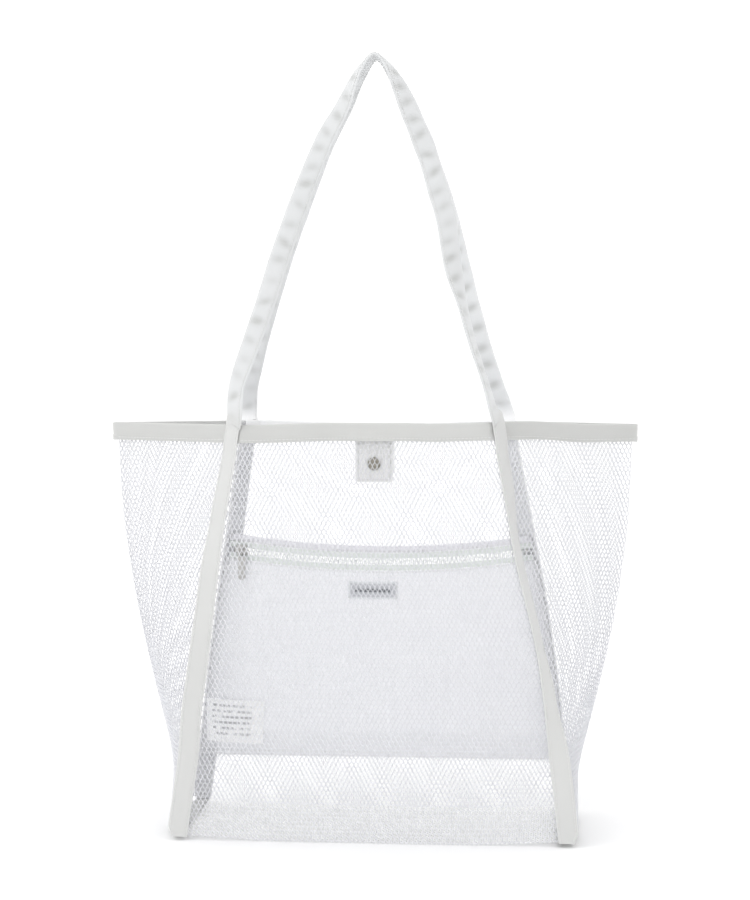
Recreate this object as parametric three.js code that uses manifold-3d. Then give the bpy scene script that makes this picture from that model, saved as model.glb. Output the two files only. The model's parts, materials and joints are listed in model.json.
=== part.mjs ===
// Open mesh tote for the beach: two A-line panels, two creased gussets, a taped rim, two handles
// that swing on the rim, a pair of snap tabs and a zip pocket inside the back panel.
// Millimetres. X runs across the bag, -Y is the front, Z is up, and the bag stands on Z = 0.
import * as THREE from "three";
import { mergeVertices } from "three/addons/utils/BufferGeometryUtils.js";
import Module from "manifold-3d";

const wasm = await Module();
wasm.setup();

// ---- overall sizes ----
const BAG_HEIGHT = 320; // floor to the top of the rim
const BASE_WIDTH = 320; // between the corner seams at the floor
const BASE_DEPTH = 130;
const PANEL_TOP_WIDTH = 224; // front and back panels at the rim
const MOUTH_DEPTH = 110; // between the two panels at the rim
const MOUTH_WIDTH = 411; // between the gusset creases at the rim, binding left out
const GUSSET_FOOT = 50; // the crease stays over the base edge up to this height
const CREASE_STEPS = 10; // facets up the crease, from there to the binding
const GUSSET_COLUMNS = 6; // facets from a corner seam to the crease

// ---- cloth, tape and clearances ----
const MESH_THICK = 1;
const TAPE_WIDTH = 16;
const TAPE_THICK = 1.6;
const GAP = 0.3; // left between pieces that are sewn face to face
const SEAM_INSET = 1.4; // a gusset's edge stops this far from the corner seam
const RIM_HEIGHT = 14; // folded binding, from its lower edges to its top
const RIM_THICK = 1; // one leg of the folded binding

// ---- handles ----
const HANDLE_RISE = 294; // along the handle, from its feet to its centre line at the top
const HANDLE_THICK = 3;
const HANDLE_TOP_RADIUS = 9;
const HANDLE_TOP_SLOPE = 0.5; // inward run for each unit of rise, where the top bend starts
const HANDLE_FOOT_PULL = 0.36; // bezier arms, as shares of the rise
const HANDLE_TOP_PULL = 0.38;
const HANDLE_LEG_STEPS = 14;
const HANDLE_TOP_STEPS = 6;
const TWIST_START = 0.72; // share of the rise where the tape begins to turn edge-on
const TWIST_END = 0.96;
const HANDLE_GAP = 1; // each handle's top stays this far from the middle plane

// ---- snap tabs ----
const TAB_WIDTH = 29;
const TAB_DROP = 28.5;
const TAB_MIDDLE = 4; // the tabs are sewn in a little to the right of the rim's middle
const TAB_THICK = 2;
const TAB_PIVOT_GAP = 0.8; // below the binding
const SNAP_RADIUS = 5;
const SNAP_DROP = 14.5; // from the tab's top to the snap's centre
const SNAP_CAP_THICK = 1.5;
const SNAP_POST_RADIUS = 1.4;
const SNAP_POST_REACH = 0.8; // past the tab's inner face
const SNAP_SOCKET_RADIUS = 4.5;
const SNAP_SOCKET_THICK = 2.4;
const SNAP_SOCKET_BORE = 2.2;
const SNAP_STUD_WALL = 0.6;
const SNAP_STUD_LENGTH = 2.2;
const ROUND_SIDES = 24;

// ---- inner pocket ----
const POCKET_BOTTOM = 42;
const POCKET_TOP = 226;
const POCKET_GAP = 8; // slack between the back panel and the pocket cloth
const POCKET_THICK = 1.2;
const POCKET_EDGE = 3; // the pocket's sides stop this far from the corner seam
const POCKET_LABEL_WIDTH = 40;
const POCKET_LABEL_HEIGHT = 15;
const POCKET_LABEL_BOTTOM = 174;
const POCKET_LABEL_MIDDLE = -6;
const LABEL_THICK = 0.8;

// ---- zip ----
const ZIP_DROP = 12; // from the pocket's top to the middle of the teeth
const ZIP_TAPE_HEIGHT = 4.6; // seen between the teeth and the cloth
const ZIP_TAPE_THICK = 0.8;
const TEETH_HEIGHT = 1.4;
const TEETH_THICK = 2;
const TEETH_GAP = 1.8; // room for the slider's post between the rows
const ZIP_END = 6; // tape left beyond the teeth at each end
const ZIP_STOP_LENGTH = 2;
const SLIDER_LENGTH = 8;
const SLIDER_HEIGHT = 8.4;
const SLIDER_PLATE = 1.2;
const SLIDER_GAP = 0.6; // between the slider's plates and the teeth
const CROWN_HEIGHT = 7.4;
const CROWN_WIDTH = 1.6;
const CROWN_BAR = 1;
const CROWN_ROOM = 2; // inside the crown, for the pull's bar
const PULL_LENGTH = 25;
const PULL_WIDTH = 6;
const PULL_THICK = 1;
const PULL_CLEAR = 0.8; // around the crown, inside the pull's eye

// ---- care label ----
const CARE_WIDTH = 47;
const CARE_HEIGHT = 35;
const CARE_BOTTOM = 56;
const CARE_GAP = 0.6; // in front of the pocket cloth

// ---- colours ----
const NET_WHITE = { color: 0xf2f3f7, roughness: 0.75, metalness: 0 };
const TAPE_WHITE = { color: 0xe9ebe6, roughness: 0.85, metalness: 0 };
const CLOTH_WHITE = { color: 0xf4f5fa, roughness: 0.8, metalness: 0 };
const ZIP_WHITE = { color: 0xeef2ea, roughness: 0.5, metalness: 0 };
const LABEL_GREY = { color: 0xbcbfc0, roughness: 0.7, metalness: 0 };
const NICKEL = { color: 0xc9c7c2, roughness: 0.25, metalness: 1 };

const bag = new THREE.Group();
const lerp = THREE.MathUtils.lerp;
const smoothstep = THREE.MathUtils.smoothstep;
const LEFT = -1;
const RIGHT = 1;
const FRONT = -1;
const BACK = 1;

function addMesh(name, geometry, look) {
  const mesh = new THREE.Mesh(geometry, new THREE.MeshStandardMaterial(look));
  mesh.name = name;
  bag.add(mesh);
  return mesh;
}

// ---- lofted solids: a row of closed rings of points, with both ends capped ----
function capTriangles(ring) {
  const normal = new THREE.Vector3();
  ring.forEach((point, i) => {
    const next = ring[(i + 1) % ring.length];
    normal.add(new THREE.Vector3().crossVectors(point, next));
  });
  normal.normalize();
  const across = new THREE.Vector3().subVectors(ring[1], ring[0]).normalize();
  const up = new THREE.Vector3().crossVectors(normal, across);
  const flat = ring.map((point) => new THREE.Vector2(point.dot(across), point.dot(up)));
  const triangles = THREE.ShapeUtils.triangulateShape(flat, []);
  const turned = THREE.ShapeUtils.area(triangles[0].map((i) => flat[i])) < 0;
  return turned ? triangles.map(([a, b, c]) => [a, c, b]) : triangles;
}

function signedVolume(corners, triangles) {
  return triangles.reduce((sum, [a, b, c]) => {
    const cross = new THREE.Vector3().crossVectors(corners[b], corners[c]);
    return sum + corners[a].dot(cross);
  }, 0);
}

function loft(rings) {
  const corners = rings.flat();
  const count = rings[0].length;
  const last = (rings.length - 1) * count;
  const triangles = [];
  for (let row = 0; row < last; row += count) {
    for (let i = 0; i < count; i += 1) {
      const next = (i + 1) % count;
      triangles.push([row + i, row + next, row + count + next]);
      triangles.push([row + i, row + count + next, row + count + i]);
    }
  }
  capTriangles(rings[0]).forEach(([a, b, c]) => triangles.push([a, c, b]));
  capTriangles(rings.at(-1)).forEach(([a, b, c]) => {
    triangles.push([last + a, last + b, last + c]);
  });
  if (signedVolume(corners, triangles) < 0) triangles.forEach((triangle) => triangle.reverse());
  const geometry = new THREE.BufferGeometry().setFromPoints(corners);
  geometry.setIndex(triangles.flat());
  geometry.computeVertexNormals();
  return geometry;
}

// ---- the bag's walls: a point on a wall, moved outward by some distance ----
function panelHalf(z) {
  return lerp(BASE_WIDTH / 2, PANEL_TOP_WIDTH / 2, z / BAG_HEIGHT);
}

function panelDepth(z) {
  return lerp(BASE_DEPTH / 2, MOUTH_DEPTH / 2, z / BAG_HEIGHT);
}

function creaseHalf(z) {
  const rise = Math.max(0, z - GUSSET_FOOT) / (BAG_HEIGHT - GUSSET_FOOT);
  return lerp(BASE_WIDTH / 2, MOUTH_WIDTH / 2, Math.sin((rise * Math.PI) / 2));
}

function onPanel(end, x, outward, z) {
  return new THREE.Vector3(x, end * (panelDepth(z) + outward), z);
}

// share runs from -1 at the front corner seam through 0 at the crease to 1 at the back seam
function onGusset(side, share, outward, z) {
  const depth = panelDepth(z);
  const run = creaseHalf(z) - panelHalf(z);
  const length = Math.hypot(run, depth);
  const x = lerp(creaseHalf(z), panelHalf(z), Math.abs(share));
  if (share === 0) return new THREE.Vector3(side * (x + (outward * length) / depth), 0, z);
  const y = share * depth + (Math.sign(share) * outward * run) / length;
  return new THREE.Vector3(side * (x + (outward * depth) / length), y, z);
}

function gussetEdge(z, inset) {
  return 1 - inset / Math.hypot(creaseHalf(z) - panelHalf(z), panelDepth(z));
}

// from -1 to 1 with the crease at 0
const GUSSET_SHARES = Array.from({ length: 2 * GUSSET_COLUMNS + 1 }, (_, i) => i / GUSSET_COLUMNS - 1);

// ---- mesh panels ----
function meshPanel(end) {
  const half = MESH_THICK / 2;
  const ring = (z) => [
    onPanel(end, -panelHalf(z), half, z),
    onPanel(end, panelHalf(z), half, z),
    onPanel(end, panelHalf(z), -half, z),
    onPanel(end, -panelHalf(z), -half, z),
  ];
  return loft([ring(0), ring(BAG_HEIGHT - RIM_THICK - GAP)]);
}

function meshGusset(side) {
  const half = MESH_THICK / 2;
  const foot = TAPE_THICK + GAP;
  const top = BAG_HEIGHT - RIM_THICK - GAP;
  const ring = (z) => {
    const shares = GUSSET_SHARES.map((share) => share * gussetEdge(z, SEAM_INSET));
    const out = shares.map((share) => onGusset(side, share, half, z));
    const back = shares.map((share) => onGusset(side, share, -half, z)).reverse();
    return [...out, ...back];
  };
  const levels = [foot, GUSSET_FOOT];
  const binding = BAG_HEIGHT - RIM_HEIGHT;
  for (let i = 1; i <= CREASE_STEPS; i += 1) {
    levels.push(lerp(GUSSET_FOOT, binding, i / CREASE_STEPS));
  }
  return loft([...levels, top].map(ring));
}

function box(x0, x1, y0, y1, z0, z1) {
  const geometry = new THREE.BoxGeometry(x1 - x0, y1 - y0, z1 - z0);
  geometry.translate((x0 + x1) / 2, (y0 + y1) / 2, (z0 + z1) / 2);
  return geometry;
}

// the base lies between the panels and between the two tapes that cross under it
const BASE_HALF_DEPTH = panelDepth(TAPE_THICK) - MESH_THICK / 2 - GAP;

function basePanel() {
  const half = BASE_WIDTH / 2 - TAPE_WIDTH - GAP;
  return box(-half, half, -BASE_HALF_DEPTH, BASE_HALF_DEPTH, 0, MESH_THICK);
}

function baseTrim(side) {
  const outer = BASE_WIDTH / 2;
  const inner = outer - TAPE_WIDTH;
  const low = side === LEFT ? -outer : inner;
  return box(low, low + TAPE_WIDTH, -BASE_HALF_DEPTH, BASE_HALF_DEPTH, 0, TAPE_THICK);
}

// ---- corner trims, flat on the outside of the panels with one edge on the corner seam ----
const TRIM_INNER_FACE = MESH_THICK / 2 + GAP;
const TRIM_OUTER_FACE = TRIM_INNER_FACE + TAPE_THICK;

function cornerTrim(end, side) {
  const ring = (z) => {
    const outer = side * panelHalf(z);
    const inner = side * (panelHalf(z) - TAPE_WIDTH);
    return [
      onPanel(end, inner, TRIM_INNER_FACE, z),
      onPanel(end, outer, TRIM_INNER_FACE, z),
      onPanel(end, outer, TRIM_OUTER_FACE, z),
      onPanel(end, inner, TRIM_OUTER_FACE, z),
    ];
  };
  return loft([ring(0), ring(BAG_HEIGHT)]);
}

// ---- rim binding: tape folded over the mesh's top edge, as a channel open below ----
function bindingSection() {
  const inner = MESH_THICK / 2 + GAP;
  const outer = inner + RIM_THICK;
  const low = BAG_HEIGHT - RIM_HEIGHT;
  const under = BAG_HEIGHT - RIM_THICK;
  return [
    [-outer, low], [-inner, low], [-inner, under], [inner, under],
    [inner, low], [outer, low], [outer, BAG_HEIGHT], [-outer, BAG_HEIGHT],
  ];
}

function panelBinding(end) {
  const half = panelHalf(BAG_HEIGHT) - TAPE_WIDTH - GAP;
  const ring = (x) => bindingSection().map(([out, z]) => onPanel(end, x, out, z));
  return loft([ring(-half), ring(half)]);
}

function gussetBinding(side) {
  const inset = SEAM_INSET + RIM_THICK;
  const ring = (share) => bindingSection().map(([out, z]) => (
    onGusset(side, share * gussetEdge(z, inset), out, z)
  ));
  return loft(GUSSET_SHARES.map(ring));
}

// ---- handles: an arch of tape that leans inward until both tops meet over the middle ----
const HANDLE_FOOT_DEPTH = panelDepth(BAG_HEIGHT) + (TRIM_INNER_FACE + TRIM_OUTER_FACE) / 2;
const HANDLE_TOP_DEPTH = TAPE_WIDTH / 2 + HANDLE_GAP;
const HANDLE_LEAN = Math.asin((HANDLE_FOOT_DEPTH - HANDLE_TOP_DEPTH) / HANDLE_RISE);
const HANDLE_FOOT = BAG_HEIGHT + GAP + HANDLE_THICK * Math.sin(HANDLE_LEAN);

// the centre line from the right foot over the top to the left foot, as across and rise
function handleLine() {
  const foot = panelHalf(BAG_HEIGHT) - TAPE_WIDTH / 2;
  const trimSlope = (BASE_WIDTH - PANEL_TOP_WIDTH) / 2 / BAG_HEIGHT;
  const bend = Math.atan(1 / HANDLE_TOP_SLOPE);
  const topHalf = HANDLE_TOP_RADIUS * Math.sin(bend);
  const bendStart = HANDLE_RISE - HANDLE_TOP_RADIUS * (1 - Math.cos(bend));
  const footPull = HANDLE_FOOT_PULL * HANDLE_RISE;
  const topPull = HANDLE_TOP_PULL * HANDLE_RISE;
  const leg = new THREE.CubicBezierCurve(
    new THREE.Vector2(foot, 0),
    new THREE.Vector2(foot - footPull * trimSlope, footPull),
    new THREE.Vector2(topHalf + topPull * HANDLE_TOP_SLOPE, bendStart - topPull),
    new THREE.Vector2(topHalf, bendStart),
  );
  const rising = leg.getSpacedPoints(HANDLE_LEG_STEPS);
  const top = [];
  for (let i = 1; i < HANDLE_TOP_STEPS; i += 1) {
    const angle = lerp(bend, -bend, i / HANDLE_TOP_STEPS);
    const drop = HANDLE_TOP_RADIUS * (1 - Math.cos(angle));
    top.push(new THREE.Vector2(HANDLE_TOP_RADIUS * Math.sin(angle), HANDLE_RISE - drop));
  }
  const falling = rising.map((point) => new THREE.Vector2(-point.x, point.y)).reverse();
  return [...rising, ...top, ...falling];
}

function handleStrap(end) {
  const line = handleLine();
  const up = new THREE.Vector3(0, -end * Math.sin(HANDLE_LEAN), Math.cos(HANDLE_LEAN));
  const outward = new THREE.Vector3(0, end * Math.cos(HANDLE_LEAN), Math.sin(HANDLE_LEAN));
  const foot = new THREE.Vector3(0, end * HANDLE_FOOT_DEPTH, HANDLE_FOOT);
  const rings = line.map((point, i) => {
    const before = line[Math.max(0, i - 1)];
    const after = line[Math.min(line.length - 1, i + 1)];
    const run = new THREE.Vector2().subVectors(after, before).normalize();
    const atFoot = i === 0 || i === line.length - 1;
    const inPlane = atFoot
      ? new THREE.Vector3(-Math.sign(point.x), 0, 0)
      : new THREE.Vector3(-run.y, 0, 0).addScaledVector(up, run.x);
    const turn = smoothstep(point.y / HANDLE_RISE, TWIST_START, TWIST_END) * (Math.PI / 2);
    const wide = inPlane.clone().multiplyScalar(Math.cos(turn));
    wide.addScaledVector(outward, Math.sin(turn)).multiplyScalar(TAPE_WIDTH / 2);
    const thick = inPlane.clone().multiplyScalar(-Math.sin(turn));
    thick.addScaledVector(outward, Math.cos(turn)).multiplyScalar(HANDLE_THICK / 2);
    const centre = foot.clone().addScaledVector(up, point.y);
    centre.x += point.x;
    return [[1, 1], [1, -1], [-1, -1], [-1, 1]].map(([across, through]) => (
      centre.clone().addScaledVector(wide, across).addScaledVector(thick, through)
    ));
  });
  return loft(rings);
}

// ---- snap tabs: each hangs inside the rim and carries one half of the snap ----
const TAB_TOP = BAG_HEIGHT - RIM_HEIGHT - TAB_PIVOT_GAP;
const SNAP_HEIGHT = TAB_TOP - SNAP_DROP;
const MESH_BEHIND_SNAP = panelDepth(SNAP_HEIGHT - SNAP_RADIUS) - MESH_THICK / 2;
const BINDING_FACE = panelDepth(BAG_HEIGHT - RIM_HEIGHT) - MESH_THICK / 2 - GAP - RIM_THICK;
const TAB_OUTER_FACE = Math.min(MESH_BEHIND_SNAP - SNAP_CAP_THICK - 3 * GAP, BINDING_FACE - GAP);

function snapTab(end) {
  const half = TAB_WIDTH / 2;
  const outline = new THREE.Shape();
  outline.moveTo(-half, 0).lineTo(-half, -TAB_DROP).lineTo(half, -TAB_DROP).lineTo(half, 0);
  outline.closePath();
  const hole = new THREE.Path();
  hole.absarc(0, -SNAP_DROP, SNAP_POST_RADIUS + GAP, 0, 2 * Math.PI, true);
  outline.holes.push(hole);
  const geometry = new THREE.ExtrudeGeometry(outline, { depth: TAB_THICK, bevelEnabled: false });
  geometry.rotateX(Math.PI / 2);
  const innerFace = TAB_OUTER_FACE - TAB_THICK;
  geometry.translate(TAB_MIDDLE, end === FRONT ? -innerFace : TAB_OUTER_FACE, TAB_TOP);
  return geometry;
}

// a turned piece whose profile gives radius and distance inward from the tab's outer face
function snapPiece(end, profile) {
  const points = profile.map(([radius, inward]) => new THREE.Vector2(radius, inward));
  const geometry = new THREE.LatheGeometry(points, ROUND_SIDES);
  if (end === BACK) geometry.rotateX(Math.PI);
  geometry.translate(TAB_MIDDLE, end * TAB_OUTER_FACE, SNAP_HEIGHT);
  return geometry;
}

// the rivet's domed cap lies on the tab's outer face and its post goes through the tab
const SNAP_POST_END = TAB_THICK + GAP + SNAP_POST_REACH;

function snapCap(end) {
  const face = -GAP - SNAP_CAP_THICK;
  const shoulder = SNAP_RADIUS - SNAP_CAP_THICK / 2;
  return snapPiece(end, [
    [0, face], [shoulder, face], [SNAP_RADIUS, face + SNAP_CAP_THICK / 2], [SNAP_RADIUS, -GAP],
    [SNAP_POST_RADIUS, -GAP], [SNAP_POST_RADIUS, SNAP_POST_END], [0, SNAP_POST_END],
  ]);
}

function snapSocket() {
  const low = TAB_THICK + GAP;
  const high = low + SNAP_SOCKET_THICK;
  const lip = SNAP_SOCKET_THICK / 4;
  return snapPiece(FRONT, [
    [SNAP_SOCKET_BORE, low], [SNAP_SOCKET_RADIUS, low], [SNAP_SOCKET_RADIUS, high - lip],
    [SNAP_SOCKET_RADIUS - lip, high], [SNAP_SOCKET_BORE, high], [SNAP_SOCKET_BORE, low],
  ]);
}

function snapStud() {
  const low = TAB_THICK + GAP;
  const flange = SNAP_POST_END + GAP + SNAP_STUD_WALL;
  const tip = flange + SNAP_STUD_LENGTH;
  const radius = SNAP_SOCKET_BORE - GAP;
  const hollow = SNAP_POST_RADIUS + GAP;
  const chamfer = radius / 4;
  return snapPiece(BACK, [
    [0, SNAP_POST_END + GAP], [hollow, SNAP_POST_END + GAP], [hollow, low],
    [SNAP_SOCKET_RADIUS, low], [SNAP_SOCKET_RADIUS, flange], [radius, flange],
    [radius, tip - chamfer], [radius - chamfer, tip], [0, tip],
  ]);
}

// ---- inner zip pocket on the back panel; depths run inward from the panel's middle ----
const POCKET_BACK = MESH_THICK / 2 + GAP;
const POCKET_INNER_FACE = MESH_THICK / 2 + POCKET_GAP;
const POCKET_FACE = POCKET_INNER_FACE + POCKET_THICK;
const ZIP_HEIGHT = POCKET_TOP - ZIP_DROP;
const TEETH_TOP = TEETH_GAP / 2 + TEETH_HEIGHT; // heights above the middle of the zip
const TAPE_LOW = TEETH_TOP + GAP;
const TAPE_HIGH = TAPE_LOW + ZIP_TAPE_HEIGHT;
const ZIP_DEPTH = (POCKET_INNER_FACE + POCKET_FACE) / 2;

function pocketHalf(z) {
  return panelHalf(z) - POCKET_EDGE;
}

function behindPanel(x, depth, z) {
  return onPanel(BACK, x, -depth, z);
}

// a block that follows the back panel's slope, its half width given by a function of height
function slopedBlock(halfAt, depth0, depth1, z0, z1) {
  return loft([z0, z1].map((z) => [
    behindPanel(-halfAt(z), depth0, z),
    behindPanel(halfAt(z), depth0, z),
    behindPanel(halfAt(z), depth1, z),
    behindPanel(-halfAt(z), depth1, z),
  ]));
}

function toManifold(geometry) {
  const bare = geometry.clone();
  ["normal", "uv"].forEach((name) => bare.deleteAttribute(name));
  const merged = mergeVertices(bare);
  return new wasm.Manifold(new wasm.Mesh({
    numProp: 3,
    vertProperties: new Float32Array(merged.attributes.position.array),
    triVerts: new Uint32Array(merged.index.array),
  }));
}

function cut(geometry, tool) {
  const mesh = toManifold(geometry).subtract(toManifold(tool)).getMesh();
  const result = new THREE.BufferGeometry();
  result.setAttribute("position", new THREE.BufferAttribute(mesh.vertProperties, 3));
  result.setIndex(new THREE.BufferAttribute(mesh.triVerts, 1));
  result.computeVertexNormals();
  return result;
}

// a shallow tray with its open back to the panel and its open top at the zip
function pocketCloth() {
  const top = ZIP_HEIGHT - TAPE_HIGH - GAP;
  const outside = slopedBlock(pocketHalf, POCKET_BACK, POCKET_FACE, POCKET_BOTTOM, top);
  const insideHalf = (z) => pocketHalf(z) - POCKET_THICK;
  const floor = POCKET_BOTTOM + POCKET_THICK;
  const hollow = slopedBlock(insideHalf, 0, POCKET_INNER_FACE, floor, top + POCKET_THICK);
  return cut(outside, hollow);
}

function alongZip(halfLength, section) {
  return loft([-halfLength, halfLength].map((x) => (
    section.map(([depth, rise]) => behindPanel(x, depth, ZIP_HEIGHT + rise))
  )));
}

const ZIP_HALF = pocketHalf(POCKET_TOP);
const TEETH_HALF = ZIP_HALF - ZIP_END;

function pocketTopBand() {
  const low = TAPE_HIGH + GAP;
  const under = ZIP_DROP - POCKET_THICK;
  return alongZip(ZIP_HALF, [
    [POCKET_FACE, low], [POCKET_INNER_FACE, low], [POCKET_INNER_FACE, under],
    [POCKET_BACK, under], [POCKET_BACK, ZIP_DROP], [POCKET_FACE, ZIP_DROP],
  ]);
}

function zipStrip(halfLength, thick, rise0, rise1) {
  const near = ZIP_DEPTH - thick / 2;
  const far = ZIP_DEPTH + thick / 2;
  return alongZip(halfLength, [[near, rise0], [near, rise1], [far, rise1], [far, rise0]]);
}

function zipStop(side) {
  const geometry = zipStrip(ZIP_STOP_LENGTH / 2, TEETH_THICK, -TEETH_TOP, TEETH_TOP);
  geometry.translate(side * (TEETH_HALF + GAP + ZIP_STOP_LENGTH / 2), 0, 0);
  return geometry;
}

// the slider rests at the left end: two plates joined by a post that runs between the rows
const SLIDER_REST = -(TEETH_HALF - SLIDER_LENGTH / 2);
const SLIDER_NEAR = ZIP_DEPTH - TEETH_THICK / 2 - SLIDER_GAP;
const SLIDER_FAR = ZIP_DEPTH + TEETH_THICK / 2 + SLIDER_GAP;
const SLIDER_FACE = SLIDER_FAR + SLIDER_PLATE;

function zipSlider() {
  const half = SLIDER_HEIGHT / 2;
  const post = TEETH_GAP / 2 - GAP;
  const back = SLIDER_NEAR - SLIDER_PLATE;
  const geometry = alongZip(SLIDER_LENGTH / 2, [
    [back, -half], [SLIDER_NEAR, -half], [SLIDER_NEAR, -post], [SLIDER_FAR, -post],
    [SLIDER_FAR, -half], [SLIDER_FACE, -half], [SLIDER_FACE, half], [SLIDER_FAR, half],
    [SLIDER_FAR, post], [SLIDER_NEAR, post], [SLIDER_NEAR, half], [back, half],
  ]);
  geometry.translate(SLIDER_REST, 0, 0);
  return geometry;
}

const CROWN_FOOT = SLIDER_FACE + GAP;

function zipCrown() {
  const high = CROWN_HEIGHT / 2;
  const inner = high - CROWN_BAR;
  const room = CROWN_FOOT + CROWN_ROOM;
  const face = room + CROWN_BAR;
  const geometry = alongZip(CROWN_WIDTH / 2, [
    [CROWN_FOOT, -high], [face, -high], [face, high], [CROWN_FOOT, high],
    [CROWN_FOOT, inner], [room, inner], [room, -inner], [CROWN_FOOT, -inner],
  ]);
  geometry.translate(SLIDER_REST, 0, 0);
  return geometry;
}

// the pull hangs from a bar through the crown; its eye is long enough to swing over the crown
const PULL_PIVOT_DEPTH = CROWN_FOOT + CROWN_ROOM / 2;
const PULL_PIVOT = behindPanel(SLIDER_REST, PULL_PIVOT_DEPTH, ZIP_HEIGHT);

function zipPull() {
  const half = PULL_WIDTH / 2;
  const bar = PULL_THICK / 2;
  const eyeHalf = CROWN_WIDTH / 2 + PULL_CLEAR;
  const eyeEnd = Math.hypot(CROWN_ROOM / 2 + CROWN_BAR, CROWN_HEIGHT / 2) + PULL_CLEAR;
  const end = PULL_LENGTH - bar;
  const outline = new THREE.Shape();
  outline.moveTo(-half, bar).lineTo(-half, -end + half);
  outline.absarc(0, -end + half, half, Math.PI, 2 * Math.PI, false).lineTo(half, bar);
  outline.closePath();
  const eye = new THREE.Path();
  eye.moveTo(-eyeHalf, -bar).lineTo(eyeHalf, -bar).lineTo(eyeHalf, -eyeEnd);
  eye.lineTo(-eyeHalf, -eyeEnd).closePath();
  outline.holes.push(eye);
  const geometry = new THREE.ExtrudeGeometry(outline, { depth: PULL_THICK, bevelEnabled: false });
  geometry.translate(0, 0, -bar);
  geometry.rotateX(Math.PI / 2);
  geometry.translate(PULL_PIVOT.x, PULL_PIVOT.y, PULL_PIVOT.z);
  return geometry;
}

function pocketLabel() {
  const half = POCKET_LABEL_WIDTH / 2;
  const near = POCKET_FACE + GAP;
  const top = POCKET_LABEL_BOTTOM + POCKET_LABEL_HEIGHT;
  const label = slopedBlock(() => half, near, near + LABEL_THICK, POCKET_LABEL_BOTTOM, top);
  label.translate(POCKET_LABEL_MIDDLE, 0, 0);
  return label;
}

// the care label is sewn in by its left edge and hangs like a page in front of the pocket
function careLabel() {
  const top = CARE_BOTTOM + CARE_HEIGHT;
  const left = -pocketHalf(top);
  const back = panelDepth(top) - POCKET_FACE - CARE_GAP;
  return box(left, left + CARE_WIDTH, back - LABEL_THICK, back, CARE_BOTTOM, top);
}

// ---- assembly ----
addMesh("front_mesh_panel", meshPanel(FRONT), NET_WHITE);
addMesh("back_mesh_panel", meshPanel(BACK), NET_WHITE);
addMesh("left_mesh_gusset", meshGusset(LEFT), NET_WHITE);
addMesh("right_mesh_gusset", meshGusset(RIGHT), NET_WHITE);
addMesh("base_mesh_panel", basePanel(), NET_WHITE);
[["front", FRONT], ["back", BACK]].forEach(([endName, end]) => {
  [["left", LEFT], ["right", RIGHT]].forEach(([sideName, side]) => {
    addMesh(`${endName}_${sideName}_trim`, cornerTrim(end, side), TAPE_WHITE);
  });
  addMesh(`rim_binding_${endName}`, panelBinding(end), TAPE_WHITE);
  addMesh(`${endName}_handle_strap`, handleStrap(end), TAPE_WHITE);
  addMesh(`${endName}_snap_tab`, snapTab(end), TAPE_WHITE);
  addMesh(`${endName}_snap_cap`, snapCap(end), NICKEL);
});
[["left", LEFT], ["right", RIGHT]].forEach(([sideName, side]) => {
  addMesh(`${sideName}_base_trim`, baseTrim(side), TAPE_WHITE);
  addMesh(`rim_binding_${sideName}`, gussetBinding(side), TAPE_WHITE);
  addMesh(`zip_stop_${sideName}`, zipStop(side), ZIP_WHITE);
});
addMesh("front_snap_socket", snapSocket(), NICKEL);
addMesh("back_snap_stud", snapStud(), NICKEL);
addMesh("pocket_cloth", pocketCloth(), CLOTH_WHITE);
addMesh("pocket_top_band", pocketTopBand(), CLOTH_WHITE);
addMesh("zip_tape_upper", zipStrip(ZIP_HALF, ZIP_TAPE_THICK, TAPE_LOW, TAPE_HIGH), ZIP_WHITE);
addMesh("zip_tape_lower", zipStrip(ZIP_HALF, ZIP_TAPE_THICK, -TAPE_HIGH, -TAPE_LOW), ZIP_WHITE);
addMesh("zip_teeth_upper", zipStrip(TEETH_HALF, TEETH_THICK, TEETH_GAP / 2, TEETH_TOP), ZIP_WHITE);
addMesh("zip_teeth_lower", zipStrip(TEETH_HALF, TEETH_THICK, -TEETH_TOP, -TEETH_GAP / 2), ZIP_WHITE);
addMesh("zip_slider", zipSlider(), NICKEL);
addMesh("zip_slider_crown", zipCrown(), NICKEL);
addMesh("zip_pull_tab", zipPull(), NICKEL);
addMesh("pocket_label", pocketLabel(), LABEL_GREY);
addMesh("care_label", careLabel(), CLOTH_WHITE);

export default bag;
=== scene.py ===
import json
import math
import random

import bmesh
import bpy
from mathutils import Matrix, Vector, noise

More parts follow.
